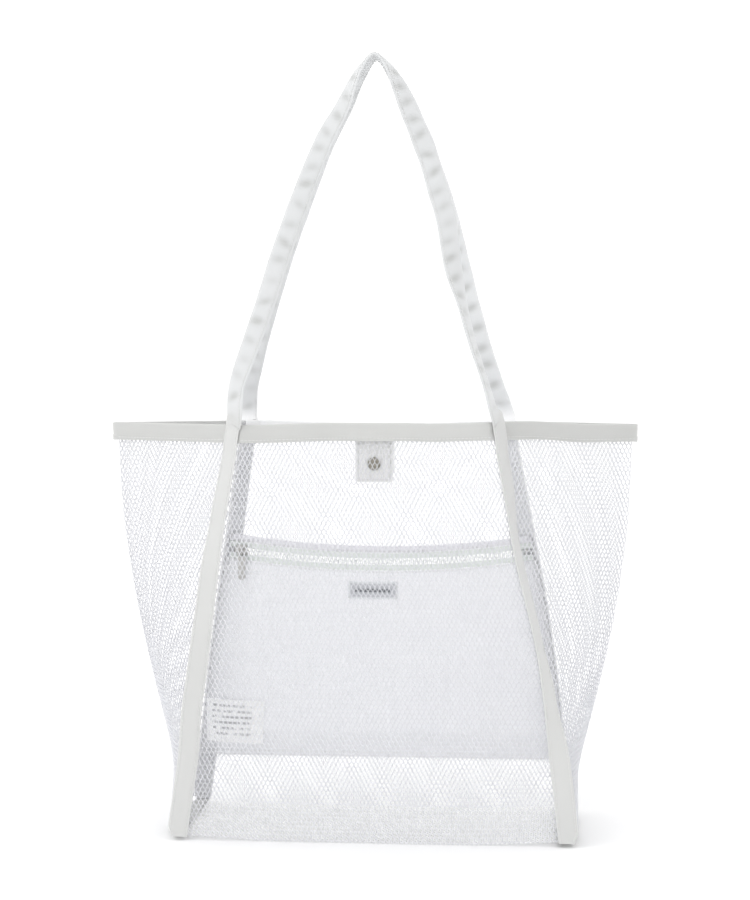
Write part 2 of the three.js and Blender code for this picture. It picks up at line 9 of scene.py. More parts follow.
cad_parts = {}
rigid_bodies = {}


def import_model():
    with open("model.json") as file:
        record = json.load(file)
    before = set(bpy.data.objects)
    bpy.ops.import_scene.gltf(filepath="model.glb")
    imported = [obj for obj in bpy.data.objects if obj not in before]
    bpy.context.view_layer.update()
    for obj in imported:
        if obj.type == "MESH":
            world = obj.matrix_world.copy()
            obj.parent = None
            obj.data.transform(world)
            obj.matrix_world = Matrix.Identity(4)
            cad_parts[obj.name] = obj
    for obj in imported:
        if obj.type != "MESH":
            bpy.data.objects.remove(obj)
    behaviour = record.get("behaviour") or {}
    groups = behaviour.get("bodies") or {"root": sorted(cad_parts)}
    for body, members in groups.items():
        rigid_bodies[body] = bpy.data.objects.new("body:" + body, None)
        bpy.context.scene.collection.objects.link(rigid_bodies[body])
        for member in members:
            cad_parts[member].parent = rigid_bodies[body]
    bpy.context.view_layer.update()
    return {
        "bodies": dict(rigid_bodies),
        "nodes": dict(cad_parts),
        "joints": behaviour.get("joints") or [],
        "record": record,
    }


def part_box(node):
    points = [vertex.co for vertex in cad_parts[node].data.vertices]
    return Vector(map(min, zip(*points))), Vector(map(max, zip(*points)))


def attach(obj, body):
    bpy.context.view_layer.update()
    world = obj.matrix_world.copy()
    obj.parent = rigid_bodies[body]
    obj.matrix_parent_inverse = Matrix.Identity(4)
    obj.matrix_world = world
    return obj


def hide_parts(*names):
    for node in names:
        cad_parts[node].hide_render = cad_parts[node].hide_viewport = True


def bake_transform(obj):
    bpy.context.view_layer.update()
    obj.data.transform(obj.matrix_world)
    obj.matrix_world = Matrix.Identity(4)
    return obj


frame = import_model()

# ---- Camera, floor and light ----
# The eye is a little above the rim and a little to the right of the front, far enough back for a
# long lens. The floor is white paper, and the light is the even light of a white studio tent.
CAMERA_DISTANCE = 1.7
CAMERA_HEIGHT = 0.385
CAMERA_TURN = math.radians(5)
AIM_HEIGHT = 0.2985
LENS_LENGTH = 86.4
SENSOR_WIDTH = 36
FLOOR_SIZE = 60
TENT_STRENGTH = 1.15
KEY_STRENGTH = 0.6
KEY_SPREAD = math.radians(55)
KEY_PLACE = Vector((-1.6, -1.5, 1.5))
KEY_TARGET = Vector((0, 0, 0))

scene = bpy.context.scene
scene.view_settings.view_transform = "Standard"
scene.view_settings.look = "None"


def aim(thing, place, target):
    thing.location = place
    thing.rotation_mode = "QUATERNION"
    thing.rotation_quaternion = (target - place).to_track_quat("-Z", "Y")
    scene.collection.objects.link(thing)


camera_data = bpy.data.cameras.new("camera")
camera_data.lens = LENS_LENGTH
camera_data.sensor_width = SENSOR_WIDTH
camera_data.clip_start = 0.05
camera_data.clip_end = 200
camera = bpy.data.objects.new("camera", camera_data)
camera_across = CAMERA_DISTANCE * math.sin(CAMERA_TURN)
camera_away = -CAMERA_DISTANCE * math.cos(CAMERA_TURN)
aim(camera, Vector((camera_across, camera_away, CAMERA_HEIGHT)), Vector((0, 0, AIM_HEIGHT)))
scene.camera = camera


def pick(sockets, key):
    """A socket by its place in the list, its identifier or its name."""
    if isinstance(key, int):
        return sockets[key]
    for socket in sockets:
        if socket.identifier == key:
            return socket
    return next(socket for socket in sockets if socket.name == key and socket.enabled)


class Wire:
    """A node's output that can be added, multiplied and compared, each of which adds a Math node."""

    def __init__(self, graph, socket):
        self.graph = graph
        self.socket = socket

    def math(self, operation, first, second=0.0, third=0.0):
        sockets = {0: first, 1: second, 2: third}
        return self.graph.node("ShaderNodeMath", {"operation": operation}, sockets)

    def __add__(self, other):
        return self.math("ADD", self, other)

    def __radd__(self, other):
        return self.math("ADD", other, self)

    def __sub__(self, other):
        return self.math("SUBTRACT", self, other)

    def __rsub__(self, other):
        return self.math("SUBTRACT", other, self)

    def __mul__(self, other):
        return self.math("MULTIPLY", self, other)

    def __rmul__(self, other):
        return self.math("MULTIPLY", other, self)

    def __truediv__(self, other):
        return self.math("DIVIDE", self, other)

    def __rtruediv__(self, other):
        return self.math("DIVIDE", other, self)

    def other(self, key):
        return Wire(self.graph, pick(self.socket.node.outputs, key))


class Graph:
    """A shader or geometry tree that is being made."""

    def __init__(self, tree):
        self.tree = tree

    def node(self, kind, settings=None, sockets=None, out=0):
        made = self.tree.nodes.new(kind)
        for name, value in (settings or {}).items():
            if name == "stops":
                for stop, (place, colour) in zip(made.color_ramp.elements, value):
                    stop.position = place
                    stop.color = colour
            else:
                setattr(made, name, value)
        for key, value in (sockets or {}).items():
            socket = pick(made.inputs, key)
            if isinstance(value, Wire):
                self.tree.links.new(value.socket, socket)
            else:
                socket.default_value = value
        return Wire(self, pick(made.outputs, out)) if len(made.outputs) else None


def rgba(colour):
    return (*colour, 1.0)


def new_finish(name, sockets):
    """A Principled material with its even values set on the shader, and its graph to add to."""
    material = bpy.data.materials.new(name)
    material.use_nodes = True
    material.node_tree.nodes.clear()
    graph = Graph(material.node_tree)
    shader = graph.node("ShaderNodeBsdfPrincipled", {}, sockets)
    graph.node("ShaderNodeOutputMaterial", {}, {"Surface": shader})
    return material, graph, shader.socket.node


def feed(graph, shader, key, wire):
    graph.tree.links.new(wire.socket, shader.inputs[key])


def grain(graph, scale, detail=2.0):
    """Noise over the object, from 0 to 1."""
    spot = graph.node("ShaderNodeTexCoord", {}, {}, "Object")
    return graph.node("ShaderNodeTexNoise", {}, {"Vector": spot, "Scale": scale, "Detail": detail})


def blended(graph, share, first, second):
    """The first colour where share is 0, passing into the second where it is 1."""
    colours = {"Factor_Float": share, "A_Color": first, "B_Color": second}
    return graph.node("ShaderNodeMix", {"data_type": "RGBA"}, colours, "Result_Color")


def patchy(graph, pale, deep, scale):
    """A colour that drifts between two shades over the object."""
    return blended(graph, grain(graph, scale, 3.0), rgba(pale), rgba(deep))


def add_bump(graph, shader, height, strength, distance):
    sockets = {"Strength": strength, "Distance": distance, "Height": height}
    feed(graph, shader, "Normal", graph.node("ShaderNodeBump", {}, sockets))


def grained_finish(name, sockets, pale, deep, patch_scale, grain_scale, bump, polish=None, detail=2.0):
    """Colour that drifts between two shades, with a fine grain in its relief and in its polish.

    bump is the relief's strength and depth, and polish the least roughness and what grain adds to it.
    """
    finish, graph, shader = new_finish(name, sockets)
    feed(graph, shader, "Base Color", patchy(graph, pale, deep, patch_scale))
    fine = grain(graph, grain_scale, detail)
    if polish:
        feed(graph, shader, "Roughness", polish[0] + fine * polish[1])
    add_bump(graph, shader, fine, *bump)
    return finish


def link_object(name, mesh):
    made = bpy.data.objects.new(name, mesh)
    scene.collection.objects.link(made)
    return made


PAPER_WHITE = (0.95, 0.95, 0.95)
PAPER_SHADE = (0.94, 0.94, 0.94)
PAPER_GRAIN = 3.0
paper, paper_graph, paper_shader = new_finish("white_paper", {"Roughness": 0.9})
feed(paper_graph, paper_shader, "Base Color", patchy(paper_graph, PAPER_WHITE, PAPER_SHADE, PAPER_GRAIN))
floor_mesh = bpy.data.meshes.new("floor")
half_floor = FLOOR_SIZE / 2
floor_corners = [(-half_floor, -half_floor, 0), (half_floor, -half_floor, 0)]
floor_corners += [(half_floor, half_floor, 0), (-half_floor, half_floor, 0)]
floor_mesh.from_pydata(floor_corners, [], [(0, 1, 2, 3)])
floor_mesh.materials.append(paper)
link_object("floor", floor_mesh)

tent = bpy.data.worlds.new("white_tent")
tent.use_nodes = True
tent.node_tree.nodes.clear()
tent_graph = Graph(tent.node_tree)
tent_light = tent_graph.node(
    "ShaderNodeBackground", {}, {"Color": (1.0, 1.0, 1.0, 1.0), "Strength": TENT_STRENGTH}
)
tent_graph.node("ShaderNodeOutputWorld", {}, {"Surface": tent_light})
scene.world = tent

key_data = bpy.data.lights.new("key", "SUN")
key_data.energy = KEY_STRENGTH
key_data.angle = KEY_SPREAD
key_light = bpy.data.objects.new("key", key_data)
aim(key_light, KEY_PLACE, KEY_TARGET)

# ---- The bag's walls: open net, cut as two A-line panels, two gussets and a base ----
# White polyester thread knitted as a net of tall six-sided holes. Each wall is one flat cut, sewn to
# its neighbours along the corner seams, and each gusset is creased along its middle.
WALL_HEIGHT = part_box("front_left_trim")[1].z
FOOT_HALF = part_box("front_mesh_panel")[1].x
TOP_HALF = 0.112
FOOT_DEPTH = 0.065
MOUTH_DEPTH = 0.055
CREASE_MOUTH = 0.2055
CREASE_FOOT = 0.050
CREASE_LEAN = -0.0035
LEAN_HEIGHTS = (0.12, 0.32)
TAPE_WIDTH = 0.016
NET_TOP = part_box("front_mesh_panel")[1].z
FRONT = -1
BACK = 1
LEFT = -1
RIGHT = 1
# how far the tape on each corner turns round towards the gusset, by height
CORNER_TURN = {
    (FRONT, LEFT): [(0.13, 0), (0.20, 16), (0.245, 33), (0.306, 41), (0.32, 41)],
    (FRONT, RIGHT): [(0.05, 0), (0.112, 54), (0.155, 70), (0.24, 71), (0.28, 58), (0.32, 56)],
    (BACK, LEFT): [(0.14, 0), (0.24, 34), (0.32, 44)],
    (BACK, RIGHT): [(0.12, 0), (0.24, 14), (0.32, 24)],
}
# how far each corner hangs to the right of its even place, by height
CORNER_LEAN = {
    (FRONT, LEFT): [(0, 0.0045), (0.055, 0.0038), (0.112, 0.0005), (0.24, -0.0023), (0.32, -0.0012)],
    (FRONT, RIGHT): [(0, 0.0018), (0.055, 0.0038), (0.135, 0.0056), (0.24, -0.0015), (0.32, -0.004)],
    (BACK, LEFT): [(0, 0.001), (0.15, -0.002), (0.32, -0.004)],
    (BACK, RIGHT): [(0, -0.001), (0.15, 0.002), (0.32, -0.002)],
}
CORNER_CUT = 0.004
CORNER_CUT_HEIGHT = 0.009
# the floor's ends ride up by this much, from the first distance from the middle to the second
EDGE_LIFT = 0.0035
EDGE_LIFT_REACH = (0.07, 0.16)
EDGE_LIFT_TOP = 0.05
# the back rim sags in its middle, and the front one arches and is pulled up by its right handle
RIM_SAG = {FRONT: -0.0022, BACK: 0.0022}
SAG_REACH = (0.02, 0.10)
SAG_HEIGHTS = (0.25, 0.31)
HANDLE_PULL = 0.003
PULL_START = (0.04, 0.10)
PULL_END = (0.12, 0.17)
PANEL_BULGE = 0.0025
PANEL_RIPPLE = 0.0016
GUSSET_BULGE = 0.0035
GUSSET_RIPPLE = 0.0014
RIPPLE_ACROSS = 14
RIPPLE_UP = 9


def mix(a, b, share):
    return a + (b - a) * share


def ease(low, high, value):
    share = min(1.0, max(0.0, (value - low) / (high - low)))
    return share * share * (3 - 2 * share)


def by_height(table, z):
    """The table's value at this height, passing smoothly from one entry to the next."""
    for (low, first), (high, second) in zip(table, table[1:]):
        if z <= high:
            return mix(first, second, ease(low, high, z))
    return table[-1][1]


def panel_half(z):
    return mix(FOOT_HALF, TOP_HALF, z / WALL_HEIGHT)


def panel_depth(z):
    return mix(FOOT_DEPTH, MOUTH_DEPTH, z / WALL_HEIGHT)


def crease_half(z):
    rise = max(0.0, (z - CREASE_FOOT) / (WALL_HEIGHT - CREASE_FOOT))
    return mix(FOOT_HALF, CREASE_MOUTH, math.sin(rise * math.pi / 2))


def tape_inner(end, side, z):
    """Where a corner tape's inner edge lies on its panel."""
    x = side * (panel_half(z) - TAPE_WIDTH) + by_height(CORNER_LEAN[end, side], z)
    return Vector((x, end * panel_depth(z), z))


def tape_across(end, side, z):
    """The direction from a corner tape's inner edge to its outer edge."""
    turn = math.radians(by_height(CORNER_TURN[end, side], z))
    return Vector((side * math.cos(turn), -end * math.sin(turn), 0))


def tape_facing(end, side, z):
    turn = math.radians(by_height(CORNER_TURN[end, side], z))
    return Vector((side * math.sin(turn), end * math.cos(turn), 0))


def tape_width(z):
    return TAPE_WIDTH - CORNER_CUT * (1 - ease(0, CORNER_CUT_HEIGHT, z))


def corner(end, side, z):
    return tape_inner(end, side, z) + tape_across(end, side, z) * tape_width(z)


def crease(side, z):
    lean = CREASE_LEAN * ease(*LEAN_HEIGHTS, z) if side == RIGHT else 0.0
    return Vector((side * crease_half(z) + lean, 0, z))


def hang(point):
    """The slack of a hanging bag: the floor's ends ride up, the back rim dips and the front one arches."""
    across = abs(point.x)
    lift = EDGE_LIFT * ease(*EDGE_LIFT_REACH, across) * (1 - ease(0, EDGE_LIFT_TOP, point.z))
    sag = RIM_SAG[FRONT if point.y < 0 else BACK]
    dip = sag * (1 - ease(*SAG_REACH, across))
    if point.y < 0 < point.x:
        dip -= HANDLE_PULL * ease(*PULL_START, across) * (1 - ease(*PULL_END, across))
    return Vector((point.x, point.y, point.z + lift - dip * ease(*SAG_HEIGHTS, point.z)))


def ripple(point, reach, seed):
    spot = (point.x * RIPPLE_ACROSS + seed, point.y * RIPPLE_ACROSS, point.z * RIPPLE_UP)
    return reach * noise.noise(Vector(spot))


def on_panel(end, flat, z, out=0.0):
    """The point on a panel that is flat metres from its middle, and out metres outside it."""
    half = panel_half(z)
    inner_half = half - TAPE_WIDTH
    side = RIGHT if flat > 0 else LEFT
    if abs(flat) > inner_half:
        share = (abs(flat) - inner_half) / TAPE_WIDTH
        edge = tape_inner(end, side, z) + tape_across(end, side, z) * tape_width(z) * share
        return hang(edge + tape_facing(end, side, z) * out)
    left = tape_inner(end, LEFT, z).x
    right = tape_inner(end, RIGHT, z).x
    share = (flat + inner_half) / (2 * inner_half)
    slack = math.sin(math.pi * share) ** 2 * math.sin(math.pi * min(1, z / NET_TOP))
    point = Vector((mix(left, right, share), end * panel_depth(z), z))
    swell = PANEL_BULGE * slack + ripple(point, PANEL_RIPPLE, 3.0 + end) * slack
    point.y += end * (swell + out)
    return hang(point)


def gusset_half(side, end, z):
    return (crease(side, z) - corner(end, side, z)).length


def on_gusset(side, flat, z, out=0.0):
    """The point on a gusset that is flat metres from its crease, and out metres outside it."""
    end = FRONT if flat < 0 else BACK
    fold = crease(side, z)
    seam = corner(end, side, z)
    run = seam - fold
    share = abs(flat) / run.length
    facing = Vector((-run.y, run.x, 0)).normalized() * (-end * side)
    slack = math.sin(math.pi * min(1, share)) * math.sin(math.pi * min(1, z / NET_TOP))
    point = fold + run * share
    swell = GUSSET_BULGE * slack + ripple(point, GUSSET_RIPPLE, 9.0) * slack
    stretch = 1.0
    if share < 1e-6:
        facing = Vector((side, 0, 0))
        stretch = run.length / max(abs(run.y), 1e-4)
    return hang(point + facing * (swell + out * stretch))


def grid_faces(columns, rows, first=0):
    faces = []
    for j in range(rows):
        for i in range(columns):
            a = first + j * (columns + 1) + i
            faces.append((a, a + 1, a + columns + 2, a + columns + 1))
    return faces


def closed_faces(columns, rows):
    """The faces of a closed sheet, of two layers of points and the rim between them."""
    layer = (columns + 1) * (rows + 1)
    last = rows * (columns + 1)
    rim = [(i, i + 1) for i in range(columns)]
    rim += [(last + i + 1, last + i) for i in range(columns)]
    rim += [(j + columns + 1, j) for j in range(0, last, columns + 1)]
    rim += [(j + columns, j + 2 * columns + 1) for j in range(0, last, columns + 1)]
    faces = grid_faces(columns, rows)
    faces += [tuple(reversed(face)) for face in grid_faces(columns, rows, layer)]
    return faces + [(b, a, a + layer, b + layer) for a, b in rim]


def link_mesh(name, points, faces, uvs=None, layer="cloth"):
    """A smooth object in the row frame. uvs gives each point's place on its flat cut, in metres."""
    mesh = bpy.data.meshes.new(name)
    mesh.from_pydata([tuple(point) for point in points], [], faces)
    if uvs is not None:
        made = mesh.uv_layers.new(name=layer)
        for loop in mesh.loops:
            made.data[loop.index].uv = uvs[loop.vertex_index]
    mesh.shade_smooth()
    mesh.update()
    return link_object(name, mesh)


def bake_modifier(piece):
    """Keeps what the piece's modifiers make as its plain mesh."""
    graph = bpy.context.evaluated_depsgraph_get()
    mesh = bpy.data.meshes.new_from_object(piece.evaluated_get(graph))
    piece.modifiers.clear()
    piece.data = mesh


HOLE_PITCH = 0.0036
HOLE_ROW = 0.0035
HOLE_HALF_WIDTH = 0.00147
HOLE_HALF_HEIGHT = 0.00256
HOLE_SIDE = 0.00050
THREAD_THICK = 0.0005
NET_COVER = 0.5
WELD = 0.00002


def net_tile():
    """The thread round one hole: a joint, two slanting threads and two knots, all flat."""
    half, tall, side = HOLE_HALF_WIDTH, HOLE_HALF_HEIGHT, HOLE_SIDE
    step, row = HOLE_PITCH / 2, HOLE_ROW
    points = [
        (half, -side), (HOLE_PITCH - half, -side), (HOLE_PITCH - half, side), (half, side),
        (0, tall), (step, row - tall), (step - half, row - side), (-step, row - tall),
        (-half, side), (half - step, row - side), (0, -tall), (half - step, side - row),
        (step - half, side - row),
    ]
    faces = [(0, 1, 2, 3), (4, 3, 5, 6), (7, 8, 4, 9), (4, 6, 9), (10, 11, 12)]
    return link_mesh("net_tile", [(x, y, 0) for x, y in points], faces)


def new_tree(name, numbers, others=(("Finish", "NodeSocketMaterial"),)):
    """A geometry tree with these numbers and a finish as its inputs, its graph and its inputs' wires."""
    tree = bpy.data.node_groups.new(name, "GeometryNodeTree")
    tree.interface.new_socket("Geometry", in_out="INPUT", socket_type="NodeSocketGeometry")
    for label, value in numbers.items():
        socket = tree.interface.new_socket(label, in_out="INPUT", socket_type="NodeSocketFloat")
        socket.default_value = value
    for label, kind in others:
        tree.interface.new_socket(label, in_out="INPUT", socket_type=kind)
    tree.interface.new_socket("Geometry", in_out="OUTPUT", socket_type="NodeSocketGeometry")
    graph = Graph(tree)
    start = graph.node("NodeGroupInput")
    return tree, graph, start


def finish_tree(graph, geometry, material):
    solid = graph.node("GeometryNodeRealizeInstances", {}, {"Geometry": geometry})
    dressed = graph.node("GeometryNodeSetMaterial", {}, {"Geometry": solid, "Material": material})
    graph.node("NodeGroupOutput", {}, {0: dressed})


def run_tree(piece, tree, values):
    """Runs the tree on the piece with these inputs and keeps the plain mesh that it makes."""
    modifier = piece.modifiers.new(tree.name, "NODES")
    modifier.node_group = tree
    for item in tree.interface.items_tree:
        if item.item_type == "SOCKET" and item.in_out == "INPUT" and item.name in values:
            modifier[item.identifier] = values[item.name]
    bake_modifier(piece)


def make_net_tree():
    numbers = {"Width": WALL_HEIGHT, "Height": WALL_HEIGHT, "Hole pitch": HOLE_PITCH,
               "Row pitch": HOLE_ROW, "Thickness": THREAD_THICK}
    others = (("Tile", "NodeSocketObject"), ("Finish", "NodeSocketMaterial"))
    tree, graph, start = new_tree("open_net", numbers, others)
    width, height = start.other("Width"), start.other("Height")
    pitch, row = start.other("Hole pitch"), start.other("Row pitch")
    columns = start.math("CEIL", width / pitch) + 3
    rows = start.math("CEIL", height / row) + 3
    grid_sizes = {"Size X": (columns - 1) * pitch, "Size Y": (rows - 1) * row,
                  "Vertices X": columns, "Vertices Y": rows}
    grid = graph.node("GeometryNodeMeshGrid", {}, grid_sizes)
    spot = graph.node("ShaderNodeSeparateXYZ", {}, {0: graph.node("GeometryNodeInputPosition")})
    count = start.math("ROUND", (spot.other("Y") / row) + ((rows - 1) / 2))
    odd = start.math("FLOORED_MODULO", count, 2.0)
    shift = graph.node("ShaderNodeCombineXYZ", {}, {"X": odd * pitch / 2})
    staggered = graph.node("GeometryNodeSetPosition", {}, {"Geometry": grid, "Offset": shift})
    tile = graph.node("GeometryNodeObjectInfo", {}, {"Object": start.other("Tile")}, "Geometry")
    tiles = graph.node("GeometryNodeInstanceOnPoints", {}, {"Points": staggered, "Instance": tile})
    flat_net = graph.node("GeometryNodeRealizeInstances", {}, {"Geometry": tiles})
    joined = graph.node("GeometryNodeMergeByDistance", {}, {"Geometry": flat_net, "Distance": WELD})
    place = graph.node("ShaderNodeSeparateXYZ", {}, {0: graph.node("GeometryNodeInputPosition")})
    spot_uv = {"X": place.other("X") / width + 0.5, "Y": place.other("Y") / height + 0.5}
    uv = graph.node("ShaderNodeCombineXYZ", {}, spot_uv)
    cut = graph.node("GeometryNodeInputNamedAttribute", {"data_type": "FLOAT_VECTOR"}, {"Name": "cut"})
    samples = {}
    for label, kind in (("point", "GeometryNodeInputPosition"), ("facing", "GeometryNodeInputNormal")):
        sockets = {"Mesh": start.other("Geometry"), "Value": graph.node(kind),
                   "UV Map": cut, "Sample UV": uv}
        samples[label] = graph.node("GeometryNodeSampleUVSurface", {"data_type": "FLOAT_VECTOR"},
                                    sockets, "Value")
    inside = samples["point"].other("Is Valid")
    facing = samples["facing"]
    kept = graph.node("GeometryNodeCaptureAttribute", {}, {"Geometry": joined})
    items = kept.socket.node.capture_items
    items.new("VECTOR", "facing")
    items.new("BOOLEAN", "outside")
    outside = graph.node("FunctionNodeBooleanMath", {"operation": "NOT"}, {0: inside})
    graph.tree.links.new(facing.socket, kept.socket.node.inputs["facing"])
    graph.tree.links.new(outside.socket, kept.socket.node.inputs["outside"])
    half = graph.node("ShaderNodeVectorMath", {"operation": "SCALE"},
                      {0: kept.other("facing"), "Scale": start.other("Thickness") * -0.5})
    laid = graph.node("GeometryNodeSetPosition", {}, {"Geometry": kept, "Position": samples["point"]})
    trimmed = graph.node("GeometryNodeDeleteGeometry", {"domain": "POINT"},
                         {"Geometry": laid, "Selection": kept.other("outside")})
    lowered = graph.node("GeometryNodeSetPosition", {}, {"Geometry": trimmed, "Offset": half})
    rise = graph.node("ShaderNodeVectorMath", {"operation": "SCALE"},
                      {0: kept.other("facing"), "Scale": 1.0})
    walls = graph.node("GeometryNodeExtrudeMesh", {"mode": "FACES"},
                       {"Mesh": lowered, "Offset": rise, "Offset Scale": start.other("Thickness"),
                        "Individual": False})
    under = graph.node("GeometryNodeFlipFaces", {}, {"Mesh": lowered})
    both = graph.node("GeometryNodeJoinGeometry", {}, {"Geometry": walls})
    graph.tree.links.new(under.socket, both.socket.node.inputs["Geometry"])
    closed = graph.node("GeometryNodeMergeByDistance", {}, {"Geometry": both, "Distance": WELD})
    finish_tree(graph, closed, start.other("Finish"))
    return tree


NET_PALE = (0.60, 0.605, 0.64)
NET_DEEP = (0.57, 0.575, 0.612)
# the base lies in the bag's own shade, so its thread is painted far paler than the walls' and given sheen
# and a faint painted glow, which stand for the light the walls pass on
BASE_PALE = (0.98, 0.98, 0.985)
BASE_DEEP = (0.965, 0.965, 0.975)
BASE_SHEEN_AND_GLOW = {
    "Sheen Weight": 1.0,
    "Sheen Roughness": 0.5,
    "Emission Color": (1.0, 1.0, 1.0, 1.0),
    "Emission Strength": 0.18,
}
NET_GLOW = {"Subsurface Weight": 1.0, "Subsurface Radius": (1.0, 1.0, 1.0), "Subsurface Scale": 0.002}


def net_finish_for(name, pale, deep, fuzz):
    """Knitted thread: fine strands, a slow drift of tone and light that passes through it."""
    # for the base, fuzz adds sheen and a painted glow (emission) that stands for light passed on by the
    # walls
    sockets = {"Roughness": 0.55, **fuzz, **NET_GLOW}
    return grained_finish(name, sockets, pale, deep, 26.0, 2600.0, (0.25, 0.0002))


net_finish = net_finish_for("net_thread", NET_PALE, NET_DEEP, {})
base_finish = net_finish_for("base_net_thread", BASE_PALE, BASE_DEEP, BASE_SHEEN_AND_GLOW)

tile = net_tile()
net_tree = make_net_tree()


def net_wall(name, low, high, halves, place, columns, rows, finish=net_finish):
    """One wall of net, from low to high, whose cut reaches halves(v) to the left and right."""
    points, uvs = [], []
    levels = [mix(low, high, j / rows) for j in range(rows + 1)]
    reach = max(max(abs(edge) for edge in halves(v)) for v in levels)
    width, height = 2 * reach, high - low
    for v in levels:
        left, right = halves(v)
        for i in range(columns + 1):
            flat = mix(left, right, i / columns)
            points.append(place(flat, v))
            uvs.append((flat / width + 0.5, (v - low) / height))
    wall = link_mesh(name, points, grid_faces(columns, rows), uvs, "cut")
    run_tree(wall, net_tree, {"Width": width, "Height": height, "Tile": tile, "Finish": finish})
    cut = sum(right - left for left, right in map(halves, levels)) / len(levels) * height
    cut * NET_COVER
    return wall


NET_EDGE = 0.0006
PANEL_FOOT = 0.0006
GUSSET_FOOT = 0.0022
for end, name in ((FRONT, "front"), (BACK, "back")):
    def panel_cut(v):
        return -panel_half(v) + NET_EDGE, panel_half(v) - NET_EDGE

    def panel_place(flat, v, end=end):
        return on_panel(end, -end * flat, v)

    wall = net_wall(f"{name}_net", PANEL_FOOT, NET_TOP, panel_cut, panel_place, 90, 64)
    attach(wall, "bag")
    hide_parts(f"{name}_mesh_panel")

for side, name in ((LEFT, "left"), (RIGHT, "right")):
    def gusset_cut(v, side=side):
        lengths = {end: gusset_half(side, end, v) - NET_EDGE for end in (FRONT, BACK)}
        return (-lengths[BACK], lengths[FRONT]) if side == LEFT else (-lengths[FRONT], lengths[BACK])

    def gusset_place(flat, v, side=side):
        return on_gusset(side, flat * side, v)

    wall = net_wall(f"{name}_gusset_net", GUSSET_FOOT, NET_TOP, gusset_cut, gusset_place, 80, 64)
    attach(wall, "bag")
    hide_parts(f"{name}_mesh_gusset")

BASE_NET_HALF = 0.1440
BASE_NET_HEIGHT = 0.0005


def base_cut(_):
    return -BASE_NET_HALF, BASE_NET_HALF


def base_place(flat, v):
    return hang(Vector((flat, v, BASE_NET_HEIGHT)))


base_low, base_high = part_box("base_mesh_panel")
base_net = net_wall("base_net", base_low.y, base_high.y, base_cut, base_place, 60, 24, base_finish)
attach(base_net, "bag")
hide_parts("base_mesh_panel")
bpy.data.objects.remove(tile)

# ---- Tape finish and stitches: the woven tape on the seams and the thread that holds it ----
# Off-white polyester twill tape, 16 mm wide, with a fine slanting rib and a firm woven edge.
# The seams are sewn with white thread, in lock stitches a little under 3 mm long.
TWILL_RIB = 0.0011
TWILL_DEPTH = 0.00007
TAPE_GLOW = {**NET_GLOW, "Subsurface Weight": 0.4}
TAPE_PALE = (0.60, 0.603, 0.592)
TAPE_DEEP = (0.55, 0.553, 0.543)
# painted shade for the dips between the tape's ribs
TAPE_DIP_SHADE = (0.49, 0.493, 0.482)
# the tape on the back panel is painted paler than the front's, painted light that makes up for the bag's
# own shade it stands in
BACK_PALE = (0.95, 0.952, 0.965)
BACK_DEEP = (0.92, 0.923, 0.935)
STITCH_LENGTH = 0.0021
STITCH_PITCH = 0.0029
STITCH_RADIUS = 0.00024
STITCH_SIDES = 6
THREAD_PALE = (0.72, 0.722, 0.715)
THREAD_DEEP = (0.65, 0.652, 0.645)


def cut_place(graph):
    """A point's place on its flat cut, in metres: X across the cloth and Y along it."""
    uv = graph.node("ShaderNodeUVMap", {"uv_map": "cloth"}, {})
    return uv, graph.node("ShaderNodeSeparateXYZ", {}, {0: uv})


def ribs(graph, across, along, pitch, slant):
    """A wave of ribs from 0 to 1, slanting by slant metres for each metre along."""
    turns = (across + along * slant) * (2 * math.pi / pitch)
    return graph.node("ShaderNodeMath", {"operation": "SINE"}, {0: turns}) * 0.5 + 0.5


def shade(graph, colour, deep, share):
    """The colour, drawn towards deep where share is high."""
    return blended(graph, share, colour, rgba(deep))


def woven_tape(name, relief, colour_for):
    """Woven tape with slanting ribs, cross threads and fuzz. colour_for gives its colour from its dips."""
    finish, graph, shader = new_finish(name, {"Sheen Weight": 0.2, "Sheen Roughness": 0.5, **TAPE_GLOW})
    uv, place = cut_place(graph)
    rib = ribs(graph, place.other("X"), place.other("Y"), TWILL_RIB, 1.0)
    weft = ribs(graph, place.other("Y"), place.other("X"), TWILL_RIB * 0.45, 0.0)
    fuzz = graph.node("ShaderNodeTexNoise", {}, {"Vector": uv, "Scale": 1900.0, "Detail": 2.0})
    height = rib * 0.6 + weft * 0.25 + fuzz * 0.3
    # the dips between ribs are darkened: painted shade
    feed(graph, shader, "Base Color", colour_for(graph, 0.55 - height * 0.5))
    feed(graph, shader, "Roughness", 0.72 + fuzz * 0.2)
    add_bump(graph, shader, height, relief, TWILL_DEPTH)
    return finish


def tape_colour(graph, pale, deep, dip_shade, dips):
    """A drift of tone along the tape, with painted shade darkening the dips between its ribs."""
    return shade(graph, patchy(graph, pale, deep, 34.0), dip_shade, dips)


def twill_finish(name, pale, deep, dip_shade):
    return woven_tape(name, 0.7, lambda graph, dips: tape_colour(graph, pale, deep, dip_shade, dips))


tape_finish = twill_finish("white_twill_tape", TAPE_PALE, TAPE_DEEP, TAPE_DIP_SHADE)
back_tape_finish = twill_finish("back_twill_tape", BACK_PALE, BACK_DEEP, TAPE_DIP_SHADE)
thread_finish = grained_finish(
    "sewing_thread", {"Roughness": 0.5}, THREAD_PALE, THREAD_DEEP, 240.0, 5200.0, (0.4, 0.0001)
)


def row_of(graph, start, pitch, item, rotation):
    """Copies of the item along the tree's line, pitch apart."""
    line = graph.node("GeometryNodeMeshToCurve", {}, {"Mesh": start.other("Geometry")})
    spacing = {"Curve": line, "Length": pitch}
    steps = graph.node("GeometryNodeResampleCurve", {"mode": "LENGTH"}, spacing)
    copies = {"Points": steps, "Instance": item, "Rotation": rotation}
    return graph.node("GeometryNodeInstanceOnPoints", {}, copies)


